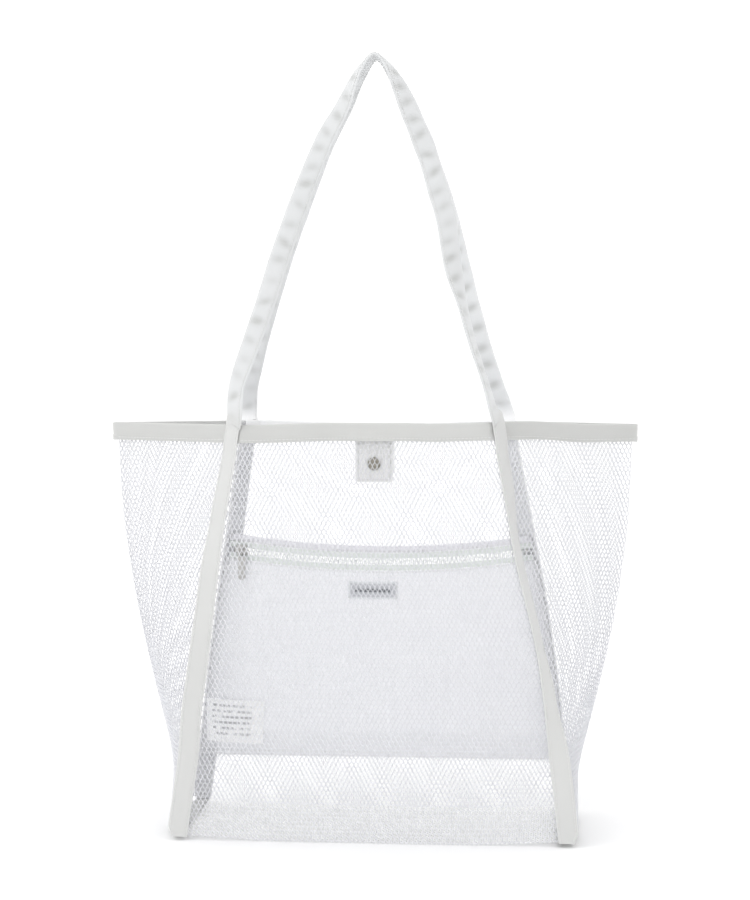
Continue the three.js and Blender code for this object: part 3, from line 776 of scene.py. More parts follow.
def make_stitch_tree():
    numbers = {"Stitch length": STITCH_LENGTH, "Stitch pitch": STITCH_PITCH, "Radius": STITCH_RADIUS}
    tree, graph, start = new_tree("lock_stitches", numbers)
    bar = graph.node("GeometryNodeMeshCylinder", {"fill_type": "TRIANGLE_FAN"},
                     {"Vertices": STITCH_SIDES, "Radius": start.other("Radius"),
                      "Depth": start.other("Stitch length")})
    along = graph.node("GeometryNodeInputTangent")
    turned = graph.node("FunctionNodeAlignRotationToVector", {"axis": "Z"}, {"Vector": along})
    row = row_of(graph, start, start.other("Stitch pitch"), bar, turned)
    finish_tree(graph, row, start.other("Finish"))
    return tree


stitch_tree = make_stitch_tree()


def link_lines(name, paths):
    """An object of bare lines along these paths, for a tree to work on."""
    points, edges = [], []
    for path in paths:
        first = len(points)
        points += [tuple(point) for point in path]
        edges += [(first + i, first + i + 1) for i in range(len(path) - 1)]
    mesh = bpy.data.meshes.new(name)
    mesh.from_pydata(points, edges, [])
    return link_object(name, mesh)


def stitch_row(name, paths):
    """Rows of stitches along these paths, as one piece."""
    row = link_lines(name, paths)
    run_tree(row, stitch_tree, {"Finish": thread_finish})
    row.data.shade_smooth()
    row.data.set_sharp_from_angle(angle=math.radians(50))
    return row


# ---- Rim binding: a tape folded over the top edge of the net, all round the mouth ----
# The same woven tape, folded in half lengthways over the net's raw edge and sewn through once.
# It is one tape with its ends under a corner tape, made here in the four runs between the corners.
BINDING_HEIGHT = 0.014
BINDING_HALF = 0.0017
BINDING_INNER = 0.0008
BINDING_STEPS = 60
BINDING_SEAM = 0.0022
BINDING_FOLD = 0.0012
BINDING_WOBBLE = 0.0004
# how far the tapes and their seams stop short, in metres on the panels and as a share on the gussets
PANEL_RIM_SHORT = 0.002
PANEL_SEAM_SHORT = 0.014
GUSSET_RIM_END = 0.985
GUSSET_SEAM_END = 0.97
GUSSET_SEAM_START = 0.03
SEAM_LIFT = 0.0001


def binding_section(wobble):
    """The folded tape's outline, as (out, drop): down the outside, up the net and down again."""
    outer, inner, low = BINDING_HALF, BINDING_INNER, BINDING_HEIGHT + wobble
    fold = [(outer * math.cos(turn), -outer * 0.8 * (1 + math.sin(turn)) * 0.5 + 0.0004)
            for turn in (math.radians(a) for a in (0, 30, 60, 90, 120, 150, 180))]
    top = [(x, -0.0007 * (1 - math.sqrt(max(0, 1 - (x / outer) ** 2)))) for x, _ in fold]
    outside = [(outer, -low + 0.0003), (outer * 1.05, -low * 0.7), (outer * 0.94, -BINDING_SEAM * 4.4)]
    outside += [(outer, -low * 0.3)]
    inside = [(-outer, -low * 0.3), (-outer * 0.97, -low * 0.7), (-outer, -low + 0.0003)]
    inside += [(-outer + 0.0002, -low), (-inner, -low), (-inner, -BINDING_FOLD)]
    back = [(inner, -BINDING_FOLD), (inner, -low), (outer - 0.0002, -low)]
    return outside + top + inside + back


def binding(name, place, low, high, node, finish):
    points, uvs = [], []
    for i in range(BINDING_STEPS + 1):
        flat = mix(low, high, i / BINDING_STEPS)
        section = binding_section(BINDING_WOBBLE * noise.noise(Vector((flat * 30, 1.7, 0))))
        length = 0.0
        before = section[0]
        for out, drop in section:
            length += math.hypot(out - before[0], drop - before[1])
            before = (out, drop)
            points.append(place(flat, WALL_HEIGHT + drop, out))
            uvs.append((length, flat))
    size = len(section)
    faces = []
    for i in range(BINDING_STEPS):
        for k in range(size):
            a, b = i * size + k, i * size + (k + 1) % size
            faces.append((a, a + size, b + size, b))
    faces.append(tuple(range(size)))
    faces.append(tuple(reversed(range(BINDING_STEPS * size, (BINDING_STEPS + 1) * size))))
    piece = link_mesh(name, points, faces, uvs)
    mend_facing(piece)
    piece.data.materials.append(finish)
    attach(piece, "bag")
    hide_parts(node)
    run = [points[i * size] for i in range(BINDING_STEPS + 1)]
    whole = sum((b - a).length for a, b in zip(run, run[1:]))


def mend_facing(piece, weld=0.0):
    """Closes seams within weld, turns every face outwards and keeps sharp folds crisp."""
    work = bmesh.new()
    work.from_mesh(piece.data)
    if weld:
        bmesh.ops.remove_doubles(work, verts=work.verts, dist=weld)
    bmesh.ops.recalc_face_normals(work, faces=work.faces)
    work.to_mesh(piece.data)
    work.free()
    piece.data.set_sharp_from_angle(angle=math.radians(40))


def seam_path(place, low, high, z, out, steps=120):
    return [place(mix(low, high, i / steps), z, out) for i in range(steps + 1)]


rim_seams = []
rim_seam_height = WALL_HEIGHT - BINDING_HEIGHT + BINDING_SEAM
rim_faces = (BINDING_HALF + SEAM_LIFT, -BINDING_HALF - SEAM_LIFT)
for end, name in ((FRONT, "front"), (BACK, "back")):
    def rim_panel(flat, z, out, end=end):
        return on_panel(end, flat, z, out)

    rim_reach = panel_half(WALL_HEIGHT) - PANEL_RIM_SHORT
    seam_reach = rim_reach - PANEL_SEAM_SHORT
    finish = tape_finish if end == FRONT else back_tape_finish
    binding(f"{name}_rim_tape", rim_panel, -rim_reach, rim_reach, f"rim_binding_{name}", finish)
    for out in rim_faces:
        rim_seams.append(seam_path(rim_panel, -seam_reach, seam_reach, rim_seam_height, out))

for side, name in ((LEFT, "left"), (RIGHT, "right")):
    def rim_gusset(share, z, out, side=side):
        end = FRONT if share < 0 else BACK
        return on_gusset(side, share * gusset_half(side, end, z), z, out)

    ends = (-GUSSET_RIM_END, GUSSET_RIM_END)
    binding(f"{name}_rim_tape", rim_gusset, *ends, f"rim_binding_{name}", tape_finish)
    for low, high in ((-GUSSET_SEAM_END, -GUSSET_SEAM_START), (GUSSET_SEAM_START, GUSSET_SEAM_END)):
        for out in rim_faces:
            rim_seams.append(seam_path(rim_gusset, low, high, rim_seam_height, out))
rim_stitches = stitch_row("rim_stitches", rim_seams)
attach(rim_stitches, "bag")

# ---- Corner tapes and handles: one tape runs up a corner, over as a handle and down the next ----
# The same tape covers each corner seam. Above the rim it is folded double round a soft filling and
# sewn along one edge, which puckers it into a row of dimples. There is one such tape on each panel.
TRIM_OUT = 0.0008
TRIM_THICK = 0.0012
TRIM_STEP_OUT = 0.0012
TRIM_STEP_HEIGHTS = (0.296, 0.307)
HANDLE_THICK = 0.0036
HANDLE_WIDTH = 0.0158
HANDLE_SPACING = 0.0022
TRIM_SPACING = 0.004
RING_HALF = 13
# how round the tape's edges are, where it lies flat and where it is filled
FLAT_EDGE = 0.14
FILLED_EDGE = 0.42
FILLING_RISE = 0.016
TAPE_SEAM_LIFT = 0.00012
HANDLE_SEAM = 0.74
TRIM_SEAM = -0.78
PUCKER_PITCH = 0.0150
PUCKER_DEPTH = 0.82
PUCKER_LENGTH = 0.0031
PUCKER_WIDTH = 0.0052
PUCKER_SLANT = 0.35
# each leg from the rim up, as distance from the middle, depth, height and how far it turns edge-on
FRONT_LEFT_LEG = [
    (-0.1029, -0.0574, 0.327, 38), (-0.1018, -0.0536, 0.349, 33), (-0.0928, -0.0485, 0.378, 20),
    (-0.0812, -0.0425, 0.4127, 10), (-0.0692, -0.0356, 0.4528, 6), (-0.0523, -0.0273, 0.5016, 8),
    (-0.0380, -0.0210, 0.5382, 18), (-0.0240, -0.0163, 0.5655, 38), (-0.0125, -0.0118, 0.5930, 68),
]
FRONT_RIGHT_LEG = [
    (0.0950, -0.0565, 0.3314, 70), (0.0892, -0.0531, 0.351, 77), (0.0786, -0.0477, 0.3828, 74),
    (0.0704, -0.0426, 0.4125, 66), (0.0632, -0.0377, 0.4408, 36), (0.0578, -0.0316, 0.4762, 14),
    (0.0514, -0.0278, 0.4987, 8), (0.0422, -0.0226, 0.529, 6), (0.0294, -0.0172, 0.5603, 22),
    (0.0190, -0.0131, 0.5839, 52), (0.0105, -0.0110, 0.5985, 76),
]
BACK_LEFT_LEG = [
    (-0.1085, 0.0572, 0.3271, 40), (-0.1075, 0.0540, 0.346, 34), (-0.1003, 0.0485, 0.3778, 20),
    (-0.0895, 0.0423, 0.4141, 10), (-0.0757, 0.0352, 0.4557, 6), (-0.0565, 0.0266, 0.5054, 8),
    (-0.0412, 0.0203, 0.542, 20), (-0.0258, 0.0157, 0.5689, 40), (-0.0125, 0.0118, 0.5930, 68),
]
BACK_RIGHT_LEG = [
    (0.1010, 0.0571, 0.3277, 34), (0.0925, 0.0535, 0.3488, 18), (0.0830, 0.0488, 0.3762, 8),
    (0.0728, 0.0423, 0.4139, 5), (0.0640, 0.0360, 0.4500, 5), (0.0540, 0.0290, 0.4900, 6),
    (0.0400, 0.0220, 0.5310, 12), (0.0265, 0.0165, 0.5620, 34), (0.0125, 0.0118, 0.5930, 68),
]
HANDLE_TOP = (0.0, 0.0092, 0.6062, 88)
puckers = random.Random(41)


def smooth_path(knots, spacing):
    """A path of even steps through these knots, each of any number of values."""
    def at(i):
        return knots[min(len(knots) - 1, max(0, i))]

    path = []
    for i in range(len(knots) - 1):
        reach = math.dist(knots[i][:3], knots[i + 1][:3])
        steps = max(1, round(reach / spacing))
        for k in range(steps):
            t = k / steps
            weights = (
                -0.5 * t + t * t - 0.5 * t ** 3,
                1 - 2.5 * t * t + 1.5 * t ** 3,
                0.5 * t + 2 * t * t - 1.5 * t ** 3,
                0.5 * t ** 3 - 0.5 * t * t,
            )
            around = (at(i - 1), at(i), at(i + 1), at(i + 2))
            path.append(tuple(sum(w * p[n] for w, p in zip(weights, around)) for n in range(4)))
    path.append(tuple(knots[-1]))
    return path


def trim_stations(end, side):
    """The corner tape from the floor to the rim: middle, direction to the inner edge, and facing."""
    stations = []
    steps = round(WALL_HEIGHT / TRIM_SPACING)
    for i in range(steps + 1):
        z = WALL_HEIGHT * i / steps
        width = tape_width(z)
        out = TRIM_OUT + TRIM_THICK / 2 + TRIM_STEP_OUT * ease(*TRIM_STEP_HEIGHTS, z)
        middle = tape_inner(end, side, z) + tape_across(end, side, z) * (width / 2)
        middle += tape_facing(end, side, z) * out
        stations.append((hang(middle), -tape_across(end, side, z), width, TRIM_THICK, 0.0))
    return stations


def handle_stations(end, left, right):
    """The handle from the left foot over the top to the right foot."""
    across, deep, high, turn = HANDLE_TOP
    top = (across, end * deep, high, turn)
    knots = []
    for side, leg in ((LEFT, left), (RIGHT, right)):
        foot = trim_stations(end, side)[-1][0]
        start = (foot.x, foot.y, foot.z, by_height(CORNER_TURN[end, side], WALL_HEIGHT))
        knots.append([start, *leg])
    path = smooth_path([*knots[0], top, *reversed(knots[1])], HANDLE_SPACING)
    stations = []
    for i, (x, y, z, turned) in enumerate(path[1:-1], 1):
        run = Vector(path[i + 1][:3]) - Vector(path[i - 1][:3])
        inward = Vector((run.z, 0, -run.x)).normalized()
        outward = Vector((0, end, 0))
        angle = math.radians(turned)
        wide = inward * math.cos(angle) + outward * math.sin(angle)
        wide = (wide - run * (wide.dot(run) / run.dot(run))).normalized()
        filled = ease(WALL_HEIGHT, WALL_HEIGHT + FILLING_RISE, z)
        width = mix(TAPE_WIDTH, HANDLE_WIDTH, filled)
        stations.append((Vector((x, y, z)), wide, width, mix(TRIM_THICK, HANDLE_THICK, filled), filled))
    return stations


def tape_run(end, left, right):
    up = trim_stations(end, LEFT)
    down = trim_stations(end, RIGHT)
    stations = up + handle_stations(end, left, right)
    return stations + [(p, w, width, thick, fill) for p, w, width, thick, fill in reversed(down)]


def tape_frames(stations):
    """Each station with its length along the tape and its facing, which is outwards."""
    frames = []
    length = 0.0
    for i, (point, wide, width, thick, fill) in enumerate(stations):
        before = stations[max(0, i - 1)][0]
        after = stations[min(len(stations) - 1, i + 1)][0]
        length += (point - before).length
        run = (after - before).normalized()
        facing = wide.cross(run).normalized()
        frames.append((point, wide, facing, width, thick, fill, length))
    return frames


def pucker_places(length):
    places = []
    at = 0.0
    while at < length:
        aside, depth = puckers.uniform(-0.0016, 0.0016), puckers.uniform(0.35, 1.2)
        places.append((at, aside, depth, puckers.uniform(-PUCKER_SLANT, PUCKER_SLANT)))
        at += PUCKER_PITCH * puckers.uniform(0.82, 1.18)
    return places


def tape_mesh(name, frames, places):
    points, uvs, faces = [], [], []
    shares_of = {"filled": [], "dimple": []}
    shares = [math.sin(math.pi / 2 * (2 * i / RING_HALF - 1)) for i in range(RING_HALF + 1)]
    for point, wide, facing, width, thick, fill, length in frames:
        shape = mix(FLAT_EDGE, FILLED_EDGE, fill)
        near = [p for p in places if abs(p[0] - length) < PUCKER_LENGTH * 4]
        swing = 0.0005 * fill * noise.noise(Vector((length * 55, 5.1, 0)))
        for face in (1, -1):
            run = shares if face == 1 else shares[-2:0:-1]
            for share in run:
                rise = thick / 2 * max(0.0, 1 - share * share) ** shape
                dent = 0.0
                for at, aside, depth, slant in near:
                    gap = share * width / 2 - aside
                    past = (length - at - gap * slant) / PUCKER_LENGTH
                    dent += depth * math.exp(-((gap / PUCKER_WIDTH) ** 2) - past * past)
                rise *= 1 - PUCKER_DEPTH * min(1.0, dent) * fill
                edge = share * (width / 2 + swing)
                points.append(point + wide * edge + facing * (rise * face))
                uvs.append(((1 + share if face == 1 else 3 - share) * width / 2, length))
                shares_of["filled"].append(fill)
                shares_of["dimple"].append(min(1.0, dent) * fill)
    size = 2 * RING_HALF
    for i in range(len(frames) - 1):
        for k in range(size):
            a, b = i * size + k, i * size + (k + 1) % size
            faces.append((a, b, b + size, a + size))
    faces.append(tuple(reversed(range(size))))
    faces.append(tuple(range((len(frames) - 1) * size, len(frames) * size)))
    piece = link_mesh(name, points, faces, uvs)
    for label, values in shares_of.items():
        piece.data.attributes.new(label, "FLOAT", "POINT").data.foreach_set("value", values)
    mend_facing(piece)
    cloth = piece.data.uv_layers["cloth"].data
    for face in piece.data.polygons:
        around = [cloth[loop].uv.x for loop in face.loop_indices]
        if len(around) == 4 and max(around) - min(around) > TAPE_WIDTH:
            for loop in face.loop_indices:
                if cloth[loop].uv.x < TAPE_WIDTH / 2:
                    cloth[loop].uv.x += 2 * HANDLE_WIDTH
    return piece


TRIM_PALE = (0.645, 0.648, 0.64)
TRIM_DEEP = (0.61, 0.613, 0.607)
HANDLE_PALE = (0.68, 0.69, 0.70)
HANDLE_DEEP = (0.635, 0.645, 0.655)
# painted shade for the filled tape's rib dips and, deeper, for its dimples
HANDLE_DIP_SHADE = (0.57, 0.575, 0.57)
HANDLE_DIMPLE_SHADE = (0.40, 0.405, 0.39)
# the back handle's filled tape is painted paler by this gain, painted light for the bag's own shade
BACK_GAIN = 1.16


def handle_finish_for(name, pale, deep, gain):
    """The tape's finish, paler where it is filled, with painted shade in the dips between its ribs and
    deeper painted shade in the dimples.
    """
    soft_pale = [value * gain for value in HANDLE_PALE]
    soft_deep = [value * gain for value in HANDLE_DEEP]

    def colour_for(graph, dips):
        filled = graph.node("ShaderNodeAttribute", {"attribute_name": "filled"}, {}, "Fac")
        dimple = graph.node("ShaderNodeAttribute", {"attribute_name": "dimple"}, {}, "Fac")
        flat_tape = tape_colour(graph, pale, deep, TAPE_DIP_SHADE, dips)
        soft_tape = tape_colour(graph, soft_pale, soft_deep, HANDLE_DIP_SHADE, dips)
        return shade(graph, blended(graph, filled, flat_tape, soft_tape), HANDLE_DIMPLE_SHADE, dimple * 0.6)

    return woven_tape(name, 0.3, colour_for)


handle_finishes = {
    FRONT: handle_finish_for("front_handle_tape", TRIM_PALE, TRIM_DEEP, 1.0),
    BACK: handle_finish_for("back_handle_tape", BACK_PALE, BACK_DEEP, BACK_GAIN),
}


def tape_seam(frames, share):
    """A row on the tape's outer face, share of the way from its middle to its inner edge."""
    path = []
    for point, wide, facing, width, thick, fill, _ in frames:
        rise = thick / 2 * (1 - share * share) ** mix(FLAT_EDGE, FILLED_EDGE, fill)
        path.append(point + wide * (share * width / 2) + facing * (rise + TAPE_SEAM_LIFT))
    return path


for end, name, left, right in (
    (FRONT, "front", FRONT_LEFT_LEG, FRONT_RIGHT_LEG),
    (BACK, "back", BACK_LEFT_LEG, BACK_RIGHT_LEG),
):
    frames = tape_frames(tape_run(end, left, right))
    whole = frames[-1][-1]
    piece = tape_mesh(f"{name}_tape_and_handle", frames, pucker_places(whole))
    piece.data.materials.append(handle_finishes[end])
    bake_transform(piece)
    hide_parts(f"{name}_left_trim", f"{name}_right_trim", f"{name}_handle_strap")
    rows = [tape_seam(frames, HANDLE_SEAM)]
    low_trim = [frame for frame in frames if frame[0].z < WALL_HEIGHT]
    half = len(low_trim) // 2
    rows += [tape_seam(low_trim[:half], TRIM_SEAM), tape_seam(low_trim[half:], TRIM_SEAM)]
    stitches = stitch_row(f"{name}_tape_stitches", rows)
    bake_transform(stitches)

# ---- Base tapes: a tape across each end of the base ----
# The same woven tape, laid over the seam between the base net and the gusset and sewn at both edges.
BASE_TAPE_THICK = 0.0013
BASE_TAPE_ACROSS = 16
BASE_TAPE_ALONG = 40
BASE_TAPE_LIFT = 0.0001
BASE_NARROWING = (FOOT_DEPTH - 0.034, FOOT_DEPTH - 0.001)
BASE_SEAMS = (0.12, 0.88)
BASE_SEAM_STEPS = 30


def base_tape_edges(side, y):
    """The tape's left and right edges, which narrow to meet the corner tapes' cut feet."""
    end = FRONT if y < 0 else BACK
    name = "left" if side == LEFT else "right"
    low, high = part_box(f"{name}_base_trim")
    near = ease(*BASE_NARROWING, abs(y))
    foot = corner(end, side, 0).x
    if side == LEFT:
        return mix(low.x, foot, near), high.x
    return low.x, mix(high.x, foot, near)


for side, name in ((LEFT, "left"), (RIGHT, "right")):
    low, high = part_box(f"{name}_base_trim")
    points, uvs = [], []
    for layer in (0, 1):
        for j in range(BASE_TAPE_ALONG + 1):
            for i in range(BASE_TAPE_ACROSS + 1):
                y = mix(low.y, high.y, j / BASE_TAPE_ALONG)
                left, right = base_tape_edges(side, y)
                x = mix(left, right, i / BASE_TAPE_ACROSS)
                point = hang(Vector((x, y, 0)))
                edge = abs(2 * i / BASE_TAPE_ACROSS - 1)
                point.z += BASE_TAPE_LIFT + layer * BASE_TAPE_THICK * (1 - edge ** 8) ** 0.5
                points.append(point)
                uvs.append((x, y))
    faces = closed_faces(BASE_TAPE_ACROSS, BASE_TAPE_ALONG)
    piece = link_mesh(f"{name}_base_tape", points, faces, uvs)
    mend_facing(piece, 0.00001)
    piece.data.materials.append(tape_finish)
    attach(piece, "bag")
    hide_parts(f"{name}_base_trim")
    rows = []
    for share in BASE_SEAMS:
        row = []
        for j in range(BASE_SEAM_STEPS + 1):
            y = mix(low.y, high.y, j / BASE_SEAM_STEPS)
            point = hang(Vector((mix(*base_tape_edges(side, y), share), y, 0)))
            row.append(point + Vector((0, 0, BASE_TAPE_THICK + SEAM_LIFT)))
        rows.append(row)
    stitches = stitch_row(f"{name}_base_stitches", rows)
    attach(stitches, "bag")

# ---- Snap tabs: a folded cloth tab inside each rim, each with one half of a press snap ----
# A doubled piece of white plain-weave cloth, stitched round its edge and sewn in under the binding.
# The front tab carries the cap and socket, and the back tab the cap and stud, in polished nickel.
TAB_THICK = 0.0016
TAB_COLUMNS = 20
TAB_ROWS = 26
TAB_TUCK = 0.0046
TAB_HEM = 0.0022
TAB_CORNER = 0.0014
TAB_BOW = 0.0009
TAB_SEAM_STEPS = 12
WEAVE_PITCH = 0.00062
# the back tab hangs a little to the left of its place
TAB_DRIFT = {FRONT: 0.0, BACK: -0.007}
TAB_PALE = (0.835, 0.835, 0.83)
TAB_DEEP = (0.795, 0.795, 0.79)
TAB_SHADOW = (0.725, 0.725, 0.723)


def plain_weave_finish(name, pale, deep, shadow, pitch):
    """Plain weave: over-and-under threads with a drift of tone and darker gaps between threads."""
    finish, graph, shader = new_finish(name, {"Sheen Weight": 0.15, "Sheen Roughness": 0.5, **NET_GLOW})
    uv, place = cut_place(graph)
    warp = ribs(graph, place.other("X"), place.other("Y"), pitch, 0.0)
    weft = ribs(graph, place.other("Y"), place.other("X"), pitch, 0.0)
    crossed = warp * weft + (1 - warp) * (1 - weft)
    slub = graph.node("ShaderNodeTexNoise", {}, {"Vector": uv, "Scale": 700.0, "Detail": 3.0})
    height = crossed * 0.7 + slub * 0.4
    colour = shade(graph, patchy(graph, pale, deep, 22.0), shadow, 0.5 - height * 0.42)
    feed(graph, shader, "Base Color", colour)
    feed(graph, shader, "Roughness", 0.7 + slub * 0.15)
    add_bump(graph, shader, height, 0.5, 0.0001)
    return finish


def thick_sheet(name, columns, rows, place, thickness, size, round_edge=0.0):
    """A closed sheet of cloth round place(across, along), whose shares run from 0 to 1."""
    middle = [[place(i / columns, j / rows) for i in range(columns + 1)] for j in range(rows + 1)]
    points, uvs = [], []
    for face in (1, -1):
        for j in range(rows + 1):
            for i in range(columns + 1):
                across = middle[j][min(columns, i + 1)] - middle[j][max(0, i - 1)]
                along = middle[min(rows, j + 1)][i] - middle[max(0, j - 1)][i]
                edge = min(i, columns - i, j, rows - j)
                thin = 1 - round_edge if edge == 0 else 1.0
                step = across.cross(along).normalized() * (face * thickness / 2 * thin)
                points.append(middle[j][i] + step)
                uvs.append((i / columns * size[0], j / rows * size[1]))
    sheet = link_mesh(name, points, closed_faces(columns, rows), uvs)
    mend_facing(sheet)
    return sheet


def turned(name, profile, place, inward, sides=48):
    """A round metal piece from a profile of radius and distance inward."""
    points, faces = [], []
    for radius, reach in profile:
        for k in range(sides):
            angle = 2 * math.pi * k / sides
            points.append(place + Vector((radius * math.cos(angle), inward * reach,
                                          radius * math.sin(angle))))
    for i in range(len(profile) - 1):
        for k in range(sides):
            a, b = i * sides + k, i * sides + (k + 1) % sides
            faces.append((a, b, b + sides, a + sides))
    if profile[0] == profile[-1]:
        faces = [tuple(p % ((len(profile) - 1) * sides) for p in face) for face in faces]
        points = points[:(len(profile) - 1) * sides]
    else:
        faces.append(tuple(range(sides)))
        faces.append(tuple(range(len(points) - sides, len(points))))
    piece = link_mesh(name, points, faces)
    mend_facing(piece, 0.000001)
    return piece


tab_finish = plain_weave_finish("tab_cloth", TAB_PALE, TAB_DEEP, TAB_SHADOW, WEAVE_PITCH)
NICKEL_PALE = (0.42, 0.40, 0.35)
NICKEL_DEEP = (0.13, 0.12, 0.10)
nickel_finish = grained_finish(
    "snap_nickel", {"Metallic": 1.0}, NICKEL_PALE, NICKEL_DEEP, 420.0, 900.0,
    (0.12, 0.0001), (0.12, 0.22),
)

CAP_PROFILE = [
    (0.0001, -0.0018), (0.0012, -0.00176), (0.0021, -0.0016), (0.0025, -0.00138), (0.0028, -0.00134),
    (0.0032, -0.00148), (0.0041, -0.0015), (0.0046, -0.0013), (0.0049, -0.0010), (0.0050, -0.0006),
    (0.0049, -0.00025), (0.0044, 0.0), (0.0014, 0.0), (0.0014, 0.0027), (0.0001, 0.0027),
]
SOCKET_PROFILE = [
    (0.0021, 0.0018), (0.0042, 0.0018), (0.0045, 0.0021), (0.0045, 0.0034), (0.0042, 0.0040),
    (0.0036, 0.0043), (0.0031, 0.0041), (0.0028, 0.0038), (0.0025, 0.0039), (0.0021, 0.0037),
    (0.0021, 0.0018),
]
STUD_PROFILE = [
    (0.0001, 0.0018), (0.0042, 0.0018), (0.0045, 0.0021), (0.0045, 0.0026), (0.0041, 0.0029),
    (0.0024, 0.0030), (0.0018, 0.0033), (0.00175, 0.0040), (0.00195, 0.0046), (0.0019, 0.0051),
    (0.0015, 0.0054), (0.0001, 0.0055),
]
for end, name, half_piece, profile in (
    (FRONT, "front", "socket", SOCKET_PROFILE), (BACK, "back", "stud", STUD_PROFILE)
):
    low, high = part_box(f"{name}_snap_tab")
    askew = Vector((TAB_DRIFT[end], 0, 0))
    low, high = low + askew, high + askew
    tab_middle = (low.y + high.y) / 2
    tab_top = high.z + TAB_TUCK

    def tab_place(across, along):
        x = mix(low.x, high.x, across)
        z = mix(low.z, tab_top, along)
        near_edge = min(x - low.x, high.x - x)
        corner_in = max(0.0, TAB_CORNER - near_edge) * max(0.0, 1 - (z - low.z) / TAB_CORNER)
        bow = TAB_BOW * math.sin(math.pi * across) * (1 - along) ** 2
        return Vector((x, tab_middle + end * bow * 0.4, z + corner_in))

    size = (high.x - low.x, tab_top - low.z)
    tab = thick_sheet(f"{name}_tab", TAB_COLUMNS, TAB_ROWS, tab_place, TAB_THICK, size, 0.5)
    tab.data.materials.append(tab_finish)
    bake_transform(tab)
    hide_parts(f"{name}_snap_tab")
    rows = []
    for face in (1, -1):
        box_seam = []
        left, right = low.x + TAB_HEM, high.x - TAB_HEM
        ends = [(left, high.z), (left, low.z + TAB_HEM), (right, low.z + TAB_HEM), (right, high.z)]
        for (x0, z0), (x1, z1) in zip(ends, ends[1:]):
            for k in range(TAB_SEAM_STEPS + 1):
                x = mix(x0, x1, k / TAB_SEAM_STEPS)
                z = mix(z0, z1, k / TAB_SEAM_STEPS)
                spot = tab_place((x - low.x) / size[0], (z - low.z) / size[1])
                box_seam.append(spot + Vector((0, face * (TAB_THICK / 2 + SEAM_LIFT), 0)))
        rows.append(box_seam)
    tab_stitches = stitch_row(f"{name}_tab_stitches", rows)
    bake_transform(tab_stitches)
    cap_low, cap_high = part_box(f"{name}_snap_cap")
    cap_middle = (cap_low + cap_high) / 2 + askew
    outer_face = Vector((cap_middle.x, end * max(abs(low.y), abs(high.y)), cap_middle.z))
    cap = turned(f"{name}_snap_button", CAP_PROFILE, outer_face, -end)
    inner = turned(f"{name}_snap_{half_piece}_ring", profile, outer_face, -end)
    for metal, node in ((cap, "cap"), (inner, half_piece)):
        metal.data.materials.append(nickel_finish)
        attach(metal, f"{name}_tab")
        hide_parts(f"{name}_snap_{node}")

# ---- Zip pocket: a flat pocket of thin cloth across the inside of the back panel ----
# Thin white plain-weave cloth, sewn to the back panel at its sides and bottom, with a little slack.
# A zip closes its top, between the cloth and a narrow band that is sewn across the panel.
POCKET_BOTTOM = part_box("pocket_cloth")[0].z
POCKET_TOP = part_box("pocket_top_band")[1].z
POCKET_EDGE = 0.003
POCKET_DEPTH = 0.0091
POCKET_SEAM_DEPTH = 0.0009
POCKET_CLOTH_THICK = 0.0006
POCKET_WEAVE = 0.0005
POCKET_CREASE = 0.0011
POCKET_CALM = 0.205
POCKET_COLUMNS = 96
POCKET_SEAM_STEPS = 90
POCKET_SIDE_STEPS = 60
POCKET_SEAM_HALF = 0.143
POCKET_SEAM_EDGE = 0.0012
POCKET_STITCH_OUT = Vector((0, -0.0004, 0))
POCKET_SIDE_RISE = 0.011
POCKET_FOOT_RISE = 0.026
POCKET_SAG = 0.0090
POCKET_SAG_HALF = 0.118
POCKET_PALE = (0.865, 0.868, 0.90)
POCKET_DEEP = (0.825, 0.83, 0.868)
POCKET_SHADOW = (0.77, 0.775, 0.82)
BAND_PALE = (0.765, 0.755, 0.80)
BAND_DEEP = (0.73, 0.72, 0.765)
BAND_SHADOW = (0.67, 0.66, 0.705)
pocket_finish = plain_weave_finish("pocket_cloth", POCKET_PALE, POCKET_DEEP, POCKET_SHADOW, POCKET_WEAVE)
band_finish = plain_weave_finish("pocket_band_cloth", BAND_PALE, BAND_DEEP, BAND_SHADOW, POCKET_WEAVE)


def pocket_half(z):
    return panel_half(z) - POCKET_EDGE


def pocket_sag(x, z):
    middle = max(0.0, 1 - (x / POCKET_SAG_HALF) ** 2)
    return POCKET_SAG * middle * ease(0.10, 0.212, z)


def in_pocket(flat, z, depth=POCKET_DEPTH):
    """The point on the pocket's cloth, which closes to the panel at its sides and its bottom."""
    full = ease(0, POCKET_SIDE_RISE, pocket_half(z) - abs(flat))
    full *= ease(POCKET_BOTTOM, POCKET_BOTTOM + POCKET_FOOT_RISE, z)
    seam = on_panel(BACK, flat, z, -POCKET_SEAM_DEPTH)
    loose = Vector((flat, panel_depth(z) - depth, z))
    point = seam.lerp(loose, full)
    creased = noise.noise(Vector((flat * 22, 4.4, z * 17)))
    creased += 0.5 * noise.noise(Vector((flat * 60, 8.1, z * 34)))
    calm = ease(0.0, 0.03, POCKET_CALM - z)
    point.y += POCKET_CREASE * creased * full * calm
    point.z -= pocket_sag(flat, z)
    return point


pocket_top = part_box("pocket_cloth")[1].z


def pocket_place(across, along):
    z = mix(POCKET_BOTTOM, pocket_top, along)
    return in_pocket(-pocket_half(z) * (2 * across - 1), z)


pocket_size = (2 * pocket_half(POCKET_BOTTOM), pocket_top - POCKET_BOTTOM)
pocket_area = (pocket_half(POCKET_BOTTOM) + pocket_half(pocket_top)) * pocket_size[1]
pocket = thick_sheet(
    "pocket_front_cloth", POCKET_COLUMNS, 64, pocket_place, POCKET_CLOTH_THICK, pocket_size
)
pocket.data.materials.append(pocket_finish)
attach(pocket, "bag")
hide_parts("pocket_cloth")

band_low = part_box("pocket_top_band")[0].z
band_half = pocket_half(POCKET_TOP)
band_height = POCKET_TOP - band_low


